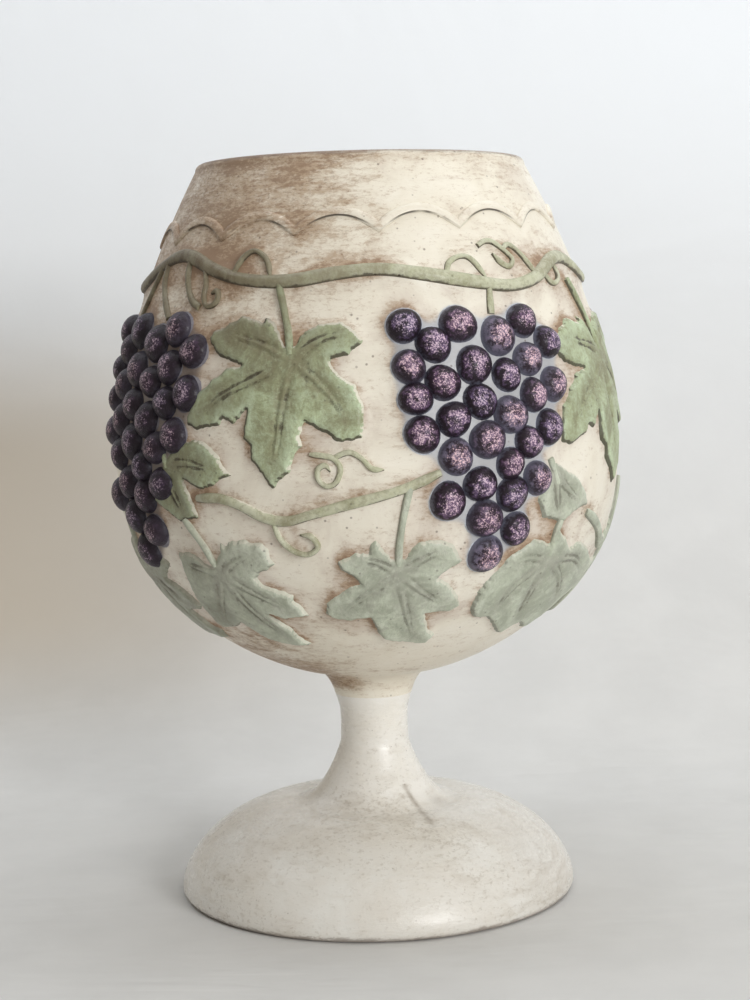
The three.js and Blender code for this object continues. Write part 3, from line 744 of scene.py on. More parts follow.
def strands_of(swing):
    """Every vine, stalk and tendril of one half of the pot, with its width."""
    ways = {
        "upper_vine": [(way, STALK_WIDTH) for way in bunch_stalks]
        + [(way, TENDRIL_WIDTH) for way in upper_tendrils],
        "lower_vine": [(lower_vine_way, LOWER_VINE_WIDTH), (lower_tendril, TENDRIL_WIDTH)],
        "lower_vine_right": [(far_vine_way, LOWER_VINE_WIDTH)],
        "curled_tendril": [(curl, TENDRIL_WIDTH), (curl_tail, TENDRIL_WIDTH)],
    }
    return {name: [(swung(way, swing), width) for way, width in kept] for name, kept in ways.items()}


VINE_JOIN_DROP = 41
vine_ring_way = [(-180, VINE_JOIN_DROP)]
for swing in (-180, 0, 180):
    vine_ring_way += [place for place in swung(upper_vine_way, swing) if -175 < place[0] < 176]
vine_ring_way.append((180, VINE_JOIN_DROP))
print("the upper vine passes", len(vine_ring_way), "places")


# %% [markdown]
# ## The grapes
#
# A bunch is thirty round domes of clay, pressed close on a low bed. Each is a ball that is
# a little uneven, flattened towards the wall. The paint later needs to know how high a
# point sits on its grape, and a number that differs from grape to grape.

# %% Where the grapes sit
grapes = [
    (9, 56, 5.4), (21.5, 56, 6), (15.2, 62, 5.6), (31, 60, 6.2), (38.5, 55.5, 5.6), (45, 62.5, 5.4),
    (9.5, 68.5, 5.3), (24, 68.5, 6), (38, 67.5, 5.5), (16.5, 73.5, 5.6), (31.5, 72, 5.2), (44.5, 75.5, 5.6),
    (10.5, 78, 5.2), (24.5, 79.5, 5.6), (38, 78.5, 5.3), (18.3, 84.5, 5.5), (31.5, 84, 6),
    (11.5, 88.5, 5.6), (41.5, 88.5, 5.6), (25.5, 91, 6), (35.5, 92.5, 5.2), (18.3, 95.5, 5.6),
    (30.5, 98.5, 5), (23.5, 104, 5.5), (37.5, 103.5, 5.4), (16.5, 108.5, 5.8), (31, 107.5, 5.6),
    (24.8, 114.5, 6), (32.5, 118.5, 5.4), (26, 126, 6),
]
GRAPE = {"sides": 24, "rings": 14, "rise": 4.45, "bed": 0}
BED = {"sides": 20, "rings": 8, "rise": 1.6, "bed": 1}
BED_MARGIN = 0.55
GOLDEN_STEP = 0.618


def ball(kind, place, radius, index):
    deselect_all()
    bpy.ops.mesh.primitive_uv_sphere_add(segments=kind["sides"], ring_count=kind["rings"], radius=MM)
    piece = bpy.context.object
    points = points_of(piece)
    angle = np.arctan2(points[:, 1], points[:, 0])
    uneven = 1 + 0.035 * np.sin(2 * angle + 1.7 * index) + 0.02 * np.sin(3 * angle + 2.9 * index)
    crown = np.clip(points[:, 2], -0.2, 1)
    note(piece, crown=crown, chance=(index * GOLDEN_STEP) % 1, bed=kind["bed"])
    points[:, :2] *= radius * uneven[:, None]
    points[:, 2] = np.maximum(points[:, 2] * kind["rise"], -0.5) + 0.12
    set_points(piece, points)
    lay_on_wall(piece, place)
    return piece


def bunch(name, swing):
    balls = []
    for index, (turn, drop, radius) in enumerate(grapes):
        place = (turn + swing, drop)
        balls.append(ball(BED, place, radius + BED_MARGIN, index))
        balls.append(ball(GRAPE, place, radius, index + swing / 7))
    whole = join(name, balls)
    print(name, len(whole.data.polygons), "faces")
    return whole


# %% [markdown]
# ## Laying the relief on both sides
#
# Each mould is pressed on the front and again on the back, half a turn on. A back piece is
# a copy with its own mesh, turned about the axis. Every piece stands for its plain solid
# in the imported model.

# %% Lay and copy
def half_turn(piece, name):
    copy = piece.copy()
    copy.data = piece.data.copy()
    named(copy, name)
    bpy.context.scene.collection.objects.link(copy)
    points = points_of(copy)
    points[:, :2] *= -1
    set_points(copy, points)
    return copy


relief = {}


def settle(piece, node):
    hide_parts(node)
    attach(piece, "root")
    relief[piece.name] = piece


def both_sides(name, front):
    front = join(f"{name}_clay_front", front)
    back = half_turn(front, f"{name}_clay_back")
    settle(front, f"{name}_front")
    settle(back, f"{name}_back")


PALE = ("low_leaf", "small_leaf_right", "lower_vine_right")


for name, shape in leaves.items():
    blade = leaf(name, shape)
    stalk = roll("stalk", shape["stalk"], LEAF_STALK_WIDTH, rise=1.7)
    both_sides(name, [blade, stalk])
print(len(relief), "leaves laid")

# %% Vines and tendrils
strands = strands_of(0)
for name in ("lower_vine", "lower_vine_right", "curled_tendril"):
    rolls = []
    for way, width in strands[name]:
        rise, end = (1.4, 0.35) if width == TENDRIL_WIDTH else (1.8, 0.7)
        rolls.append(roll("roll", way, width, rise=rise, taper=(0.7, end)))
    both_sides(name, rolls)

ring = [roll("roll", vine_ring_way, VINE_WIDTH, rise=1.9, closed=True)]
for swing in (0, 180):
    for way, width in strands_of(swing)["upper_vine"]:
        end = 0.5 if width == TENDRIL_WIDTH else 1
        ring.append(roll("roll", way, width, rise=1.4, taper=(1, end)))
upper_vine = join("upper_vine_clay", ring)
settle(upper_vine, "upper_vine")
print("vines laid")

# %% Bunches of grapes
LEFT_BUNCH_TURN = -86
for name, swing in (("grape_bunch_right", 0), ("grape_bunch_left", LEFT_BUNCH_TURN)):
    both_sides(name, [bunch(name, swing)])

# %% [markdown]
# ## The row of scallops
#
# Under the mouth runs a soft raised bead in sixteen arches, with a line scratched below it.
# The bead is a roll of clay like the vine, and the row leans down a little at the left. The
# line is too fine to model, so the paint draws it, dark with stain in the scratch and with
# painted shade under the bead, and a bump presses it in.

# %% The scallop bead
SCALLOPS = 16
SCALLOP_TURN = -6.5
TOP_STEP = 18.1
CUSP_STEP = 24.2
SCALLOP_LEAN = 1.7
PITCH = 360 / SCALLOPS
ARCH_STEPS = 12
BEAD_WIDTH = 3.2

bead_way = []
for along in np.arange(SCALLOPS * ARCH_STEPS + 1) / ARCH_STEPS:
    off_centre = 2 * (along % 1) - 1
    bead_turn = SCALLOP_TURN + (along - 0.5) * PITCH - 180
    lean = SCALLOP_LEAN * math.sin(math.radians(bead_turn))
    bead_way.append((bead_turn, TOP_STEP - lean + (CUSP_STEP - TOP_STEP) * off_centre**2))
bead = roll("scallop_bead_clay", bead_way, BEAD_WIDTH, rise=0.8, steps=1, closed=True)
settle(bead, "scallop_bead")

for piece, node in ((bowl, "bowl"), (stem, "stem"), (foot, "foot")):
    settle(piece, node)
print(len(relief), "pieces in all")


# %% [markdown]
# ## Where the wash and the painted shade gather
#
# The relief was stuck on with slip, which fills the corner beside it, so the ground is
# drawn up a little there. Brown stain is then brushed over the pot and wiped off again. It
# stays beside the relief, most of all to the upper left of each piece, and the same brown
# paints the shade on the ground to the left of each piece. To know what lies near, the
# relief is drawn as a mask on the strip, two cells to a degree or a step, then blurred, and
# read back at every point of the bowl.

# %% A mask of the relief on the strip
FILLET = 0.8
INSIDE_DROP = 120.0
ACROSS = 720
DOWN = 410
LEAF_REACH = 50
GRAPE_REACH = 12
STRAND_REACH = 100
turns, drops = np.meshgrid(np.arange(ACROSS) / 2 - 180, np.arange(DOWN) / 2)
mask = np.zeros((DOWN, ACROSS))
grape_mask = np.zeros((DOWN, ACROSS))


def draw(field, test, middle, reach):
    """Add a shape to the field, on both halves of the strip."""
    for swing in (0, 180):
        shift = (turns - middle[0] - swing + 180) % 360 - 180
        close = (np.abs(shift) < reach) & (np.abs(drops - middle[1]) < reach)
        places = np.stack([middle[0] + shift[close], drops[close]], 1)
        field[close] = np.maximum(field[close], test(spoke_to(places, middle)))


for shape in leaves.values():
    outline = spoke_to(shape["outline"], shape["middle"])
    draw(mask, lambda flat, outline=outline: inside_of(flat, outline), shape["middle"], LEAF_REACH)
for swing in (0, LEFT_BUNCH_TURN):
    for turn, drop, radius in grapes:
        place = (turn + swing, drop)
        draw(grape_mask, lambda flat, rim=radius + 0.8: np.hypot(*flat.T) < rim, place, GRAPE_REACH)
mask = np.maximum(mask, grape_mask)
every_strand = [(way, width) for ways in strands_of(0).values() for way, width in ways]
every_strand += [(shape["stalk"], LEAF_STALK_WIDTH) for shape in leaves.values()]
every_strand.append((upper_vine_way + [(90, VINE_JOIN_DROP)], VINE_WIDTH))
for way, width in every_strand:
    middle = tuple(np.mean(way, axis=0))
    line = eased(spoke_to(way, middle), 6)
    draw(
        mask, lambda flat, line=line, width=width: nearest_on(flat, [line])[0] < width / 2,
        middle, STRAND_REACH,
    )
print("relief covers", round(float(mask.mean()), 2), "of the strip")


# %% Blur it and read it at the bowl's points
CELL_TALL = 0.49
CELL_WIDE = 0.66
NEAR_BLUR = 1.4
WIDE_BLUR = 4.5
GRAPE_BLUR = 2.2


def blurred(field, sigma):
    """Gaussian blur that wraps round the pot; sigma is in millimetres."""
    rows = np.fft.fftfreq(DOWN * 2)[:, None] / CELL_TALL
    columns = np.fft.fftfreq(ACROSS)[None, :] / CELL_WIDE
    tall = np.concatenate([field, field[::-1]])
    fade = np.exp(-2 * math.pi**2 * sigma**2 * (rows**2 + columns**2))
    return np.real(np.fft.ifft2(np.fft.fft2(tall) * fade))[:DOWN]


def read_strip(field, turn, drop):
    """The field at turns and drops between its cells."""
    column = ((turn + 180) * 2) % ACROSS
    row = np.clip(drop * 2, 0, DOWN - 1.001)
    left, top = column.astype(int), row.astype(int)
    across, down = column - left, row - top
    right = (left + 1) % ACROSS
    upper = field[top, left] * (1 - across) + field[top, right] * across
    lower = field[top + 1, left] * (1 - across) + field[top + 1, right] * across
    return upper * (1 - down) + lower * down


def strip_places(points):
    """Turn and drop of points on the outside of the bowl."""
    radius = np.hypot(points[:, 0], points[:, 1])
    turn = np.degrees(np.arctan2(points[:, 0], -points[:, 1]))
    order = np.argsort(wall_line[:, 1])
    drop = np.interp(points[:, 2], wall_line[order, 1], wall_run[order]) / DROP_STEP
    outside = radius > np.interp(points[:, 2], wall_line[order, 1], wall_line[order, 0]) - 2
    outside |= points[:, 2] < BASE[1]
    return turn, drop, outside


points = points_of(bowl)
turn, drop, outside = strip_places(points)
close = blurred(mask, NEAR_BLUR)
wide = blurred(mask, WIDE_BLUR)
# Stain beside the relief, and painted shade on the ground to the left of each piece.
beside = read_strip(close, turn + 0.7, drop + 1.3) * 1.2 + read_strip(close, turn, drop) * 0.5
haze = read_strip(wide, turn, drop) * 1.3
halo = read_strip(blurred(grape_mask, GRAPE_BLUR), turn, drop)
for name, values in (("beside", beside), ("haze", haze), ("halo", halo)):
    note(bowl, **{name: np.clip(values, 0, 1) * outside})
note(bowl, drop=np.where(outside, drop, INSIDE_DROP))
slip = FILLET * read_strip(close, turn, drop) * outside
set_points(bowl, points + normals_of(bowl) * slip[:, None])
note(bead, beside=0, haze=0, halo=0, drop=strip_places(points_of(bead))[1])
print("wash noted on", len(turn), "points")


# %% [markdown]
# ## Shader sums as Python sums
#
# A finish is arithmetic on masks and noises. The first small class wraps a socket, so that
# `1 - mask * 0.5` adds the Math nodes by itself. The second adds every other node. Colours
# go through Mix nodes.

# %% A colour and a signal
def paint(red, green, blue):
    """A colour as it looks on the screen, from 0 to 255, made linear for the shader."""
    shades = []
    for value in (red, green, blue):
        share = value / 255
        shades.append(share / 12.92 if share <= 0.04045 else ((share + 0.055) / 1.055) ** 2.4)
    return (*shades, 1.0)


class Signal:
    def __init__(self, recipe, socket):
        self.recipe = recipe
        self.socket = socket

    def math(self, operation, first, second):
        return self.recipe.add("Math", [first, second], operation=operation)

    def __add__(self, other):
        return self.math("ADD", self, other)

    def __radd__(self, other):
        return self.math("ADD", other, self)

    def __sub__(self, other):
        return self.math("SUBTRACT", self, other)

    def __rsub__(self, other):
        return self.math("SUBTRACT", other, self)

    def __mul__(self, other):
        return self.math("MULTIPLY", self, other)

    def __rmul__(self, other):
        return self.math("MULTIPLY", other, self)


print("white is", paint(255, 255, 255))

# %% A recipe of nodes
SPREAD = 3.6


class Recipe:
    """The nodes of a material or a world, added one by one."""

    def __init__(self, owner):
        owner.use_nodes = True
        self.owner = owner
        self.tree = owner.node_tree
        self.tree.nodes.clear()

    def add(self, kind, inputs, output=0, **settings):
        node = self.tree.nodes.new(f"ShaderNode{kind}")
        for name, value in settings.items():
            setattr(node, name, value)
        pairs = inputs.items() if isinstance(inputs, dict) else enumerate(inputs)
        for key, value in pairs:
            if isinstance(value, Signal):
                self.tree.links.new(value.socket, node.inputs[key])
            else:
                node.inputs[key].default_value = value
        return None if output is None else Signal(self, node.outputs[output])

    @cached_property
    def place(self):
        return self.add("TexCoord", [], output=3)

    @cached_property
    def axes(self):
        """How far towards +X, towards +Y and up, in metres."""
        return [self.add("SeparateXYZ", [self.place], output=axis) for axis in range(3)]

    @cached_property
    def turn(self):
        """The angle from the front towards +X, in radians."""
        return self.add("Math", [self.axes[0], self.axes[1] * -1], operation="ARCTAN2")

    def noise(self, scale, stretch=(1, 1, 1), detail=4, roughness=0.55, shift=0.0, warp=0.0):
        """Noise on the piece, with features of about 1/scale metres, spread to fill 0 to 1."""
        spot = self.add("Mapping", {0: self.place, 1: (shift, shift / 2, -shift), 3: stretch})
        values = {"Vector": spot, "Scale": scale, "Detail": detail, "Roughness": roughness}
        narrow = self.add("TexNoise", {**values, "Distortion": warp})
        inputs = [narrow, SPREAD, 0.5 - 0.5 * SPREAD]
        return self.add("Math", inputs, operation="MULTIPLY_ADD", use_clamp=True)

    def step(self, value, low, high):
        inputs = {0: value, 1: low, 2: high}
        return self.add("MapRange", inputs, interpolation_type="SMOOTHSTEP", clamp=True)

    def blend(self, factor, below, above):
        inputs = {0: factor, 6: below, 7: above}
        return self.add("Mix", inputs, output=2, data_type="RGBA", clamp_factor=True)

    def layers(self, colour, *coats):
        """Coats of colour, each laid over the ones before it as thickly as its factor says."""
        for factor, coat in coats:
            colour = self.blend(factor, colour, coat)
        return colour

    def noted(self, name):
        return self.add("Attribute", [], output=2, attribute_name=name)

    def finish(self, colour, roughness, height, depth, **constants):
        bump = self.add("Bump", {"Strength": 1.0, "Distance": depth, "Height": height})
        values = {"Base Color": colour, "Roughness": roughness, "Normal": bump, **constants}
        self.add("OutputMaterial", [self.add("BsdfPrincipled", values)], output=None)
        return self.owner


def new_finish(name):
    return Recipe(bpy.data.materials.new(name))


def wear(piece, material):
    piece.data.materials.clear()
    piece.data.materials.append(material)


print("shader helpers ready")


# %% [markdown]
# ## Cream glaze with brown wash
#
# The ground is a satin cream. Thin brown wash was brushed round it and wiped: it stays in
# level streaks, thickest between the mouth and the scallops and under the bowl, in specks,
# and beside the relief. The same browns also paint the shade on the left of the front, the
# side away from the lamp. Rough streaks are duller than clean glaze.

# %% Colours and marks of the glaze
CREAM = paint(243, 237, 223)
WARM_CREAM = paint(234, 226, 208)
WASH = paint(169, 139, 108)
THICK_WASH = paint(122, 90, 64)
DARK_WASH = paint(100, 77, 60)
MAUVE_HAZE = paint(192, 173, 165)
TAN = paint(233, 224, 207)
SCRATCH_STAIN_AND_SHADE = paint(62, 50, 38)
GLAZE = {"Coat Weight": 0.2, "Coat Roughness": 0.22, "Specular IOR Level": 0.45}
GLAZE_DEPTH = 0.0003
WASH_AND_SHADE_TURN = 1.15


def streaks(recipe):
    """Level brush marks: long round the pot, thin up and down."""
    broad = recipe.noise(22, (1, 1, 4), detail=5, roughness=0.62, warp=0.5)
    fine = recipe.noise(70, (1, 1, 7), detail=7, roughness=0.72, shift=3, warp=0.3)
    return broad * 0.5 + fine * 0.5


def clouds(recipe):
    return recipe.noise(40, detail=6, roughness=0.62, warp=0.4)


def dry_brush(recipe, amount, low, high, shift):
    """Wash left in fine level dashes; more of it where the amount is larger, from 0 to 1."""
    dashes = recipe.noise(460, (1, 1, 2.2), detail=7, roughness=0.8, shift=shift, warp=0.4)
    return recipe.step(amount * 0.9 + dashes, low, high)


def specks(recipe, size=0.11):
    """Round specks of iron in the clay, one in some of the cells of a loose grid."""
    cells = {"Vector": recipe.place, "Scale": 300}
    middle = recipe.add("TexVoronoi", cells, output=0)
    lot = recipe.add("TexVoronoi", cells, output=1)
    return (1 - recipe.step(middle, size * 0.6, size * 1.4)) * recipe.step(lot, 0.56, 0.62)


def wash_and_shade_side(recipe, low=0.1, high=0.95):
    """1 to the left of the front, fading to 0 round the pot: more wash and painted shade there."""
    swing = recipe.add("Math", [recipe.turn + WASH_AND_SHADE_TURN], operation="COSINE")
    return recipe.step(swing, low, high)


print("glaze colours ready")

# %% The bowl's glaze
def scratch_and_shade_line(recipe, drop):
    """Three masks: the line under the scallops, nearness to a cusp, and what is above them."""
    half_cell = 0.5 - SCALLOP_TURN / PITCH
    cell = recipe.add("Math", [recipe.turn * (180 / math.pi / PITCH) + half_cell], operation="FRACT")
    off_centre = cell * 2 - 1
    off_square = off_centre * off_centre
    lean = recipe.add("Math", [recipe.turn], operation="SINE") * SCALLOP_LEAN
    below_arch = drop - (off_square * (CUSP_STEP - TOP_STEP) + TOP_STEP - lean)
    gap = recipe.add("Math", [below_arch - 1.3], operation="ABSOLUTE") * (1.2 - off_square * 0.45)
    broken = recipe.step(recipe.noise(60, (1, 1, 0.5), detail=3), 0.1, 0.5)
    near_top = 1 - recipe.step(off_square, 0.04, 0.7) * 0.9
    # The dark line: stain in the scratch and painted shade under the bead.
    line = (1 - recipe.step(gap, 0.05, 0.5)) * near_top * broken
    return line, recipe.step(off_square, 0.1, 0.95), 1 - recipe.step(below_arch, -1.5, 1.5)


def glaze_on_bowl():
    recipe = new_finish("cream_glaze_with_wash")
    height_here = recipe.axes[2]
    drop, beside, haze, halo = [recipe.noted(name) for name in ("drop", "beside", "haze", "halo")]
    cloud = clouds(recipe)
    brushed = streaks(recipe)
    streak = recipe.step(brushed, 0.4, 0.85)
    wash_and_shade = wash_and_shade_side(recipe)
    line, near_cusp, above = scratch_and_shade_line(recipe, drop)
    over_cusps = recipe.step(drop, 9.0, 21.0) * near_cusp * above
    lip = 1 - recipe.step(drop, 0.3, 5.0)
    underside = recipe.step(drop + cloud * 14, 158.0, 190.0) * recipe.step(height_here, 0.0665, 0.07)

    amount = above * (0.04 + streak * 0.33) + over_cusps * 0.3 + lip * 0.2
    # On the left of the front: more wash, and painted shade on the side away from the lamp.
    amount += wash_and_shade * (1 - recipe.step(drop, 30.0, 80.0)) * (0.45 + cloud * 0.42)
    amount += (1 - above) * (streak * 0.24 + recipe.step(cloud, 0.55, 1.0) * 0.22)
    # Stain beside the relief, with painted shade on the ground just left of each piece.
    amount += beside * (cloud * 0.9 - 0.05) + haze * cloud * 0.16
    # Wash streaks under the bowl, and painted shade on its lower left.
    amount += underside * (streak * 0.1 + wash_and_shade * wash_and_shade * 0.75)
    thin = dry_brush(recipe, amount, 0.7, 1.3, shift=1.3)
    thick = dry_brush(recipe, amount - 0.3, 0.78, 1.3, shift=3.3)
    brim = recipe.step(height_here + brushed * 0.0016, 0.2394, 0.2404)
    # The grey lilac halo round the grapes, painted darker on the left as shade.
    slip = recipe.blend(wash_and_shade, paint(190, 194, 200), paint(122, 110, 106))
    colour = recipe.layers(
        recipe.blend(cloud, CREAM, WARM_CREAM),
        (recipe.step(haze + cloud - 0.5, 0.1, 0.9) * 0.42, MAUVE_HAZE),
        (underside * 0.7, TAN),
        (recipe.step(amount, 0.1, 1.0) * 0.6, WASH),
        (thin * 0.5, WASH),
        (thick * 0.55, THICK_WASH),
        (recipe.step(halo, 0.4, 0.75) * 0.85, slip),
        (specks(recipe) * 0.6, DARK_WASH),
        (brim * 0.6, DARK_WASH),
        # Stain and painted shade in the line under the bead.
        (line * 0.88, SCRATCH_STAIN_AND_SHADE),
    )
    height = brushed * 0.35 + cloud * 0.35 + thin * 0.06 - line * 2.0
    roughness = 0.42 + thin * 0.2 + cloud * 0.06
    return recipe.finish(colour, roughness, height, GLAZE_DEPTH, **GLAZE)


wear(bowl, glaze_on_bowl())
wear(bead, bowl.data.materials[0])
print("bowl glazed")

# %% [markdown]
# The foot and the stem have less wash: dusty rubbed marks that fade out up the stem, and
# on the foot's right a thin smudged line with a soft spot beside it.

# %% The foot's and the stem's glaze
def glaze_on_foot():
    recipe = new_finish("cream_glaze_below")
    height_here = recipe.axes[2]
    cloud = clouds(recipe)
    mist = recipe.noise(16, (1, 1, 2.2), detail=3, roughness=0.5, shift=6.0, warp=0.3)
    rub = recipe.noise(110, (1, 1, 3.2), detail=9, roughness=0.72, shift=4.0, warp=0.4)
    grit = recipe.noise(620, (1, 1, 1.5), detail=4, roughness=0.7, shift=2.0)
    foot_cream = recipe.blend(cloud, paint(236, 234, 228), paint(227, 222, 213))
    stem_cream = recipe.blend(cloud, paint(252, 250, 245), paint(243, 239, 230))
    marked = 1 - recipe.step(height_here, 0.05, 0.065)
    dusty = recipe.step(rub * 0.85 + mist * 0.3, 0.45, 1.3) * marked
    colour = recipe.layers(
        foot_cream,
        (recipe.step(height_here, 0.02, 0.036), stem_cream),
        (dusty * 0.4, paint(190, 180, 164)),
        (recipe.step(grit + mist * 0.3, 0.75, 1.25) * marked * 0.3, paint(152, 138, 118)),
        (recipe.noted("smudge") * (0.3 + rub * 0.6), paint(150, 138, 122)),
        (specks(recipe, 0.07) * marked * 0.4, DARK_WASH),
        ((1 - recipe.step(height_here + rub * 0.0016, 0.0014, 0.003)) * 0.6, DARK_WASH),
    )
    height = cloud * 0.5 + rub * 0.2 + grit * 0.04
    roughness = 0.24 + dusty * 0.22 + cloud * 0.04
    return recipe.finish(colour, roughness, height, GLAZE_DEPTH, **GLAZE)


smudge_line = np.array([(9.6, -14.5), (11.4, -16), (13.6, -19), (15.7, -25.6), (17.7, -32.8)])
smudge_spot = np.array([20.5, -12.0])
rubbed_spot = np.array([52.0, -30.0])
SMUDGE_FROM = 26
points = points_of(foot)
flat = points[:, :2]
smudge = np.exp(-((nearest_on(flat, [smudge_line])[0] / 0.9) ** 2))
smudge += 0.5 * np.exp(-((np.hypot(*(flat - smudge_spot).T) / 3.2) ** 2))
smudge *= points[:, 2] > SMUDGE_FROM
smudge += 0.4 * np.exp(-((np.hypot(*(flat - rubbed_spot).T) / 18) ** 2))
note(foot, smudge=smudge)
note(stem, smudge=0)
wear(foot, glaze_on_foot())
wear(stem, foot.data.materials[0])
print("foot and stem glazed")


# %% [markdown]
# ## Green paint on the vine
#
# The leaves were painted in thin sage green, blotted so that it is lighter and darker in
# patches, and the brown wash settled in the grooves of the veins. The paint was wiped off
# the rims that stand up to the right, where the cream clay shows, and that cream is also a
# painted highlight on the side of the lamp. The lower-left rims get stain and painted shade,
# and the leaves and vines left of the front are darkened with wash and painted shade.

# %% Paint on leaves and vines
PRESSED_WASH_AND_SHADE = paint(66, 56, 42)


def green_paint(name, shades, seed, lumps=0.6, rim=0.8, veins=0.85):
    recipe = new_finish(name)
    light, middle, deep, dull = [paint(*shade) for shade in shades]
    height_here = recipe.axes[2]
    blots = recipe.noise(60, detail=7, roughness=0.66, shift=seed, warp=0.8)
    grain = recipe.noise(520, detail=5, roughness=0.8, shift=seed + 2)
    strokes = recipe.noise(130, (1.6, 1.6, 1), detail=9, roughness=0.68, shift=seed + 6, warp=0.5)
    dabs = recipe.noise(240, detail=6, roughness=0.75, shift=seed + 8, warp=1.5)
    groove, edge, valley = [recipe.noted(note_name) for note_name in ("groove", "edge", "valley")]
    # Cream rims that stand up to the right: wiped bare, and a painted highlight towards the lamp.
    wiped_and_lit_rim = recipe.step(recipe.noted("bare") + (blots - 0.5) * 0.5 + (grain - 0.5) * 0.4, 0.5, 0.8)
    broken = recipe.step(recipe.noise(90, detail=6, roughness=0.7, shift=seed + 4), 0.3, 0.75)
    # Dark edges to the lower left: stain and painted shade.
    stained = recipe.step(recipe.noted("stained") + (strokes - 0.5) * 0.5, 0.2, 0.6)
    pressed = recipe.step(groove + (strokes - 0.5) * 0.6, 0.3, 0.75)
    # Upper vine on the left of the front: wash and painted shade.
    upper_left_wash_and_shade = wash_and_shade_side(recipe) * recipe.step(height_here, 0.165, 0.196) * (0.55 + strokes * 0.45)
    colour = recipe.layers(
        recipe.blend(recipe.step(blots, 0.1, 0.8), deep, middle),
        (recipe.step(strokes * 0.6 + blots * 0.4, 0.35, 1.0) * 0.6, light),
        ((1 - recipe.step(edge, 0.8, 5.5)) * (1 - valley) * strokes * 0.8, light),
        (valley * (0.3 + strokes * 0.4), dull),
        (recipe.step(grain, 0.5, 1.0) * 0.3, light),
        ((1 - recipe.step(grain, 0.1, 0.5)) * 0.45, deep),
        (recipe.step(dabs, 0.6, 1.0) * 0.3, dull),
        (wiped_and_lit_rim * rim, CREAM),
        # Leaves and vines on the left of the front: painted shade and wash.
        (wash_and_shade_side(recipe, 0.7, 1.0) * (0.25 + strokes * 0.45), paint(118, 112, 94)),
        (upper_left_wash_and_shade, paint(108, 94, 70)),
        # Wash in the pressed veins and specks, and painted shade on the lower-left edges.
        (pressed * broken * veins + stained * veins + specks(recipe) * 0.4, PRESSED_WASH_AND_SHADE),
    )
    height = grain * 0.35 + strokes * lumps + blots * lumps - groove * 0.4
    return recipe.finish(colour, 0.48 + grain * 0.14, height, GLAZE_DEPTH, **GLAZE)


SAGE = ((206, 222, 190), (182, 193, 154), (146, 148, 114), (124, 114, 88))
PALE_SAGE = ((220, 225, 208), (202, 209, 188), (172, 178, 158), (158, 154, 144))
VINE_GREEN = ((214, 214, 192), (192, 194, 162), (154, 150, 120), (150, 146, 116))
sage = green_paint("sage_paint", SAGE, seed=0.0)
pale_sage = green_paint("pale_sage_paint", PALE_SAGE, seed=9.0, rim=0.45, veins=0.45)
vine_green = green_paint("vine_paint", VINE_GREEN, seed=5.0, lumps=0.2)
print("greens mixed")


# %% [markdown]
# ## Paint on the grapes
#
# Each grape is near black round its foot. A brush with a little pearly mauve was drawn over
# the crowns, so that they are speckled, and some caught more than others. Grey lilac paint
# fills the bed between them. To the left of the front, grapes and bed are painted darker,
# with painted shade and some wash.

# %% Grape paint
SKIN_SHEEN = {"Coat Weight": 0.12, "Coat Roughness": 0.2, "Specular IOR Level": 0.3}
SKIN_DEPTH = 0.00015


def grape_paint():
    recipe = new_finish("grape_paint")
    crown, chance, bed = [recipe.noted(name) for name in ("crown", "chance", "bed")]
    brush = recipe.noise(400, detail=5, roughness=0.72, warp=0.15)
    dust = recipe.noise(1900, detail=2, roughness=0.8, shift=4.0)
    night = recipe.blend(chance, paint(28, 16, 28), paint(40, 25, 38))
    purple = recipe.blend(chance, paint(104, 86, 122), paint(120, 84, 112))
    pearl = recipe.blend(chance, paint(218, 196, 216), paint(246, 210, 216))
    lilac = recipe.blend(brush, paint(168, 173, 186), paint(220, 225, 234))
    lifted = recipe.step(crown + (brush - 0.5) * 0.7, 0.62, 1.15)
    bloom = recipe.step(chance, 0.55, 0.95) * recipe.step(brush - crown * 0.2, 0.0, 0.7)
    climbing = 1 - recipe.step(crown + brush * 0.3, 0.28, 0.7)
    centre = recipe.step(crown, 0.45, 0.98)
    flecks = recipe.step(dust * 0.7 + brush * 0.4 + centre * 0.7, 1.2, 1.6)
    # Painted shade, with some wash, on the grapes and their bed to the left of the front.
    shaded = wash_and_shade_side(recipe)
    skin = recipe.layers(
        night,
        (lifted, purple),
        (bloom * 0.6, paint(130, 128, 150)),
        (climbing * 0.7, paint(134, 136, 154)),
        (flecks, pearl),
        (shaded * (0.75 - flecks * 0.35), night),
    )
    bed_colour = recipe.layers(
        paint(160, 152, 148),
        (recipe.step(crown + brush * 0.2, 0.1, 0.4), lilac),
        (shaded * 0.75, paint(92, 80, 86)),
    )
    colour = recipe.blend(bed, skin, bed_colour)
    roughness = 0.4 + brush * 0.14 + bed * 0.2
    return recipe.finish(colour, roughness, dust * 0.5 + brush * 0.5, SKIN_DEPTH, **SKIN_SHEEN)


grape = grape_paint()
for name, piece in relief.items():
    if name.startswith("grape"):
        wear(piece, grape)
    elif name.startswith(PALE):
        wear(piece, pale_sage)
    elif name.startswith(("vine_leaf", "small_leaf_left")):
        wear(piece, sage)
    elif name.startswith(("upper_vine", "lower_vine", "curled")):
        wear(piece, vine_green)
print("relief painted")


# %% [markdown]
# ## The card, the light and the camera
#
# The goblet stands on white card that bends up behind it. The card is clear from behind, and
# a plain table lies under it, so that the goblet can be seen from every side. The card's paint
# holds painted light: it grows lighter and bluer up the card, and a warm painted shadow lies
# low on its left. A small soft lamp stands to the right of the camera, rather low, so that the
# shadow falls softly on the card to the left. A wide lamp hangs above, a long one lights the
# card from above, and the room adds a faint warm fill.

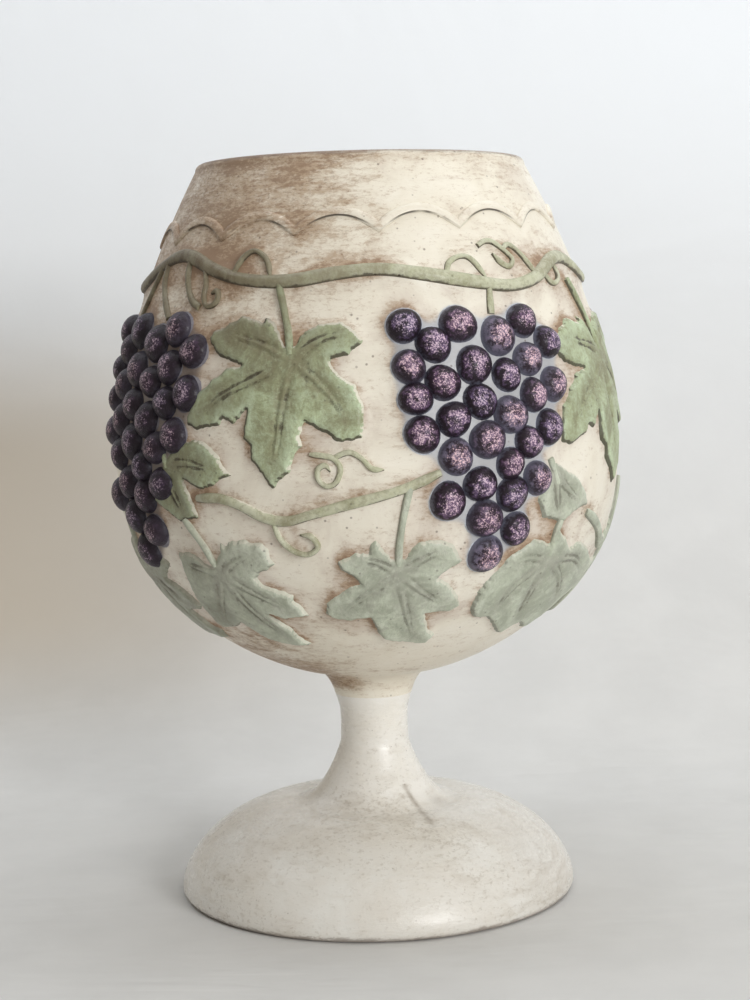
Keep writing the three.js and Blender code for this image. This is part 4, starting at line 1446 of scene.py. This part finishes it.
# %% The card and the table
CARD_BEND = 190
CARD_FLAT = 110
CARD_HALF_WIDTH = 2500
TABLE_SIZE = 5
TABLE_DROP = 0.003
bend_angles = np.arange(1, 25) / 24 * math.pi / 2
card_line = [(-CARD_HALF_WIDTH, -2200, 0), (-CARD_HALF_WIDTH, CARD_FLAT, 0)]
for angle in bend_angles:
    back, up = CARD_BEND * math.sin(angle), CARD_BEND * (1 - math.cos(angle))
    card_line.append((-CARD_HALF_WIDTH, CARD_FLAT + back, up))
card_line.append((-CARD_HALF_WIDTH, CARD_FLAT + CARD_BEND, 1600))
card = draw_line("white_card", card_line)
width = (2 * CARD_HALF_WIDTH * MM, 0, 0)
bpy.ops.mesh.extrude_region_move(TRANSFORM_OT_translate={"value": width})
bpy.ops.object.mode_set(mode="OBJECT")
bpy.ops.object.shade_smooth()
if sum(face.normal.z for face in card.data.polygons) < 0:
    card.data.flip_normals()


def card_finish():
    recipe = new_finish("white_card")
    east, _, height_here = recipe.axes
    fibre = recipe.noise(26, detail=6, roughness=0.6)
    creases = recipe.noise(7, (1, 2.5, 1), detail=3, roughness=0.5, warp=0.8)
    low_down = recipe.step(height_here, 0.0, 0.06) * (1 - recipe.step(height_here, 0.12, 0.2))
    # A warm painted shadow low on the left of the card.
    painted_warm_shadow = (1 - recipe.step(east, -0.2, 0.05)) * low_down
    card_paint_and_painted_light = recipe.layers(
        recipe.blend(fibre, paint(208, 207, 205), paint(214, 213, 211)),
        # Painted light: the card grows lighter and bluer up its height.
        (recipe.step(height_here, 0.02, 0.31), paint(243, 246, 250)),
        (painted_warm_shadow * 0.78, paint(212, 198, 178)),
    )
    front_only = 1 - recipe.add("NewGeometry", [], output=6)
    return recipe.finish(card_paint_and_painted_light, 0.75 + fibre * 0.1, creases + fibre * 0.1, 0.0008, Alpha=front_only)


wear(card, card_finish())
deselect_all()
bpy.ops.mesh.primitive_plane_add(size=TABLE_SIZE, location=(0, 0, -TABLE_DROP))
table = bpy.context.object
table.name = "table_under_the_card"
wear(table, card.data.materials[0])
print("card faces", len(card.data.polygons))

# %% Lamps and room light
def lamp(name, spot, aim, width, height, power, colour):
    deselect_all()
    bpy.ops.object.light_add(type="AREA", location=spot)
    light = bpy.context.object
    light.name = name
    light.data.shape = "RECTANGLE"
    light.data.size = width
    light.data.size_y = height
    light.data.energy = power
    light.data.color = colour
    light.rotation_euler = (Vector(aim) - Vector(spot)).to_track_quat("-Z", "Y").to_euler()


lamp("window", (0.74, -1.12, 0.50), (0, 0, 0.12), 0.42, 0.42, 9.5, (0.985, 0.995, 1.0))
lamp("ceiling", (0.4, -0.35, 1.5), (0, 0, 0.1), 1.6, 1.6, 3.9, (1.0, 0.98, 0.94))
lamp("wall_light", (0.0, 0.0, 0.9), (0, 0.3, 0.55), 1.4, 0.3, 3.6, (0.88, 0.94, 1.0))

FILL_STRENGTH = 0.275
world = bpy.data.worlds.new("room")
bpy.context.scene.world = world
room = Recipe(world)
fill = room.add("Background", [(1.0, 0.92, 0.8, 1.0), FILL_STRENGTH])
seen = room.add("Background", [paint(232, 232, 230), 1.0])
camera_ray = room.add("LightPath", [])
room.add("OutputWorld", [room.add("MixShader", [camera_ray, fill, seen])], output=None)
print("room light", FILL_STRENGTH)

# %% Camera
LENS = 70.85
SENSOR = 36
CAMERA_SPOT = (0.00215, -0.648, 0.1931)
LOOK_DOWN = 5.61
ROLL = -1.48
deselect_all()
bpy.ops.object.camera_add()
camera = bpy.context.object
camera.name = "camera"
camera.data.lens = LENS
camera.data.sensor_width = SENSOR
pitch = Matrix.Rotation(math.radians(90 - LOOK_DOWN), 4, "X")
roll_turn = Matrix.Rotation(math.radians(ROLL), 4, "Z")
camera.matrix_world = Matrix.Translation(CAMERA_SPOT) @ pitch @ roll_turn
scene = bpy.context.scene
scene.camera = camera
scene.view_settings.view_transform = "Standard"
print("camera lens", camera.data.lens)
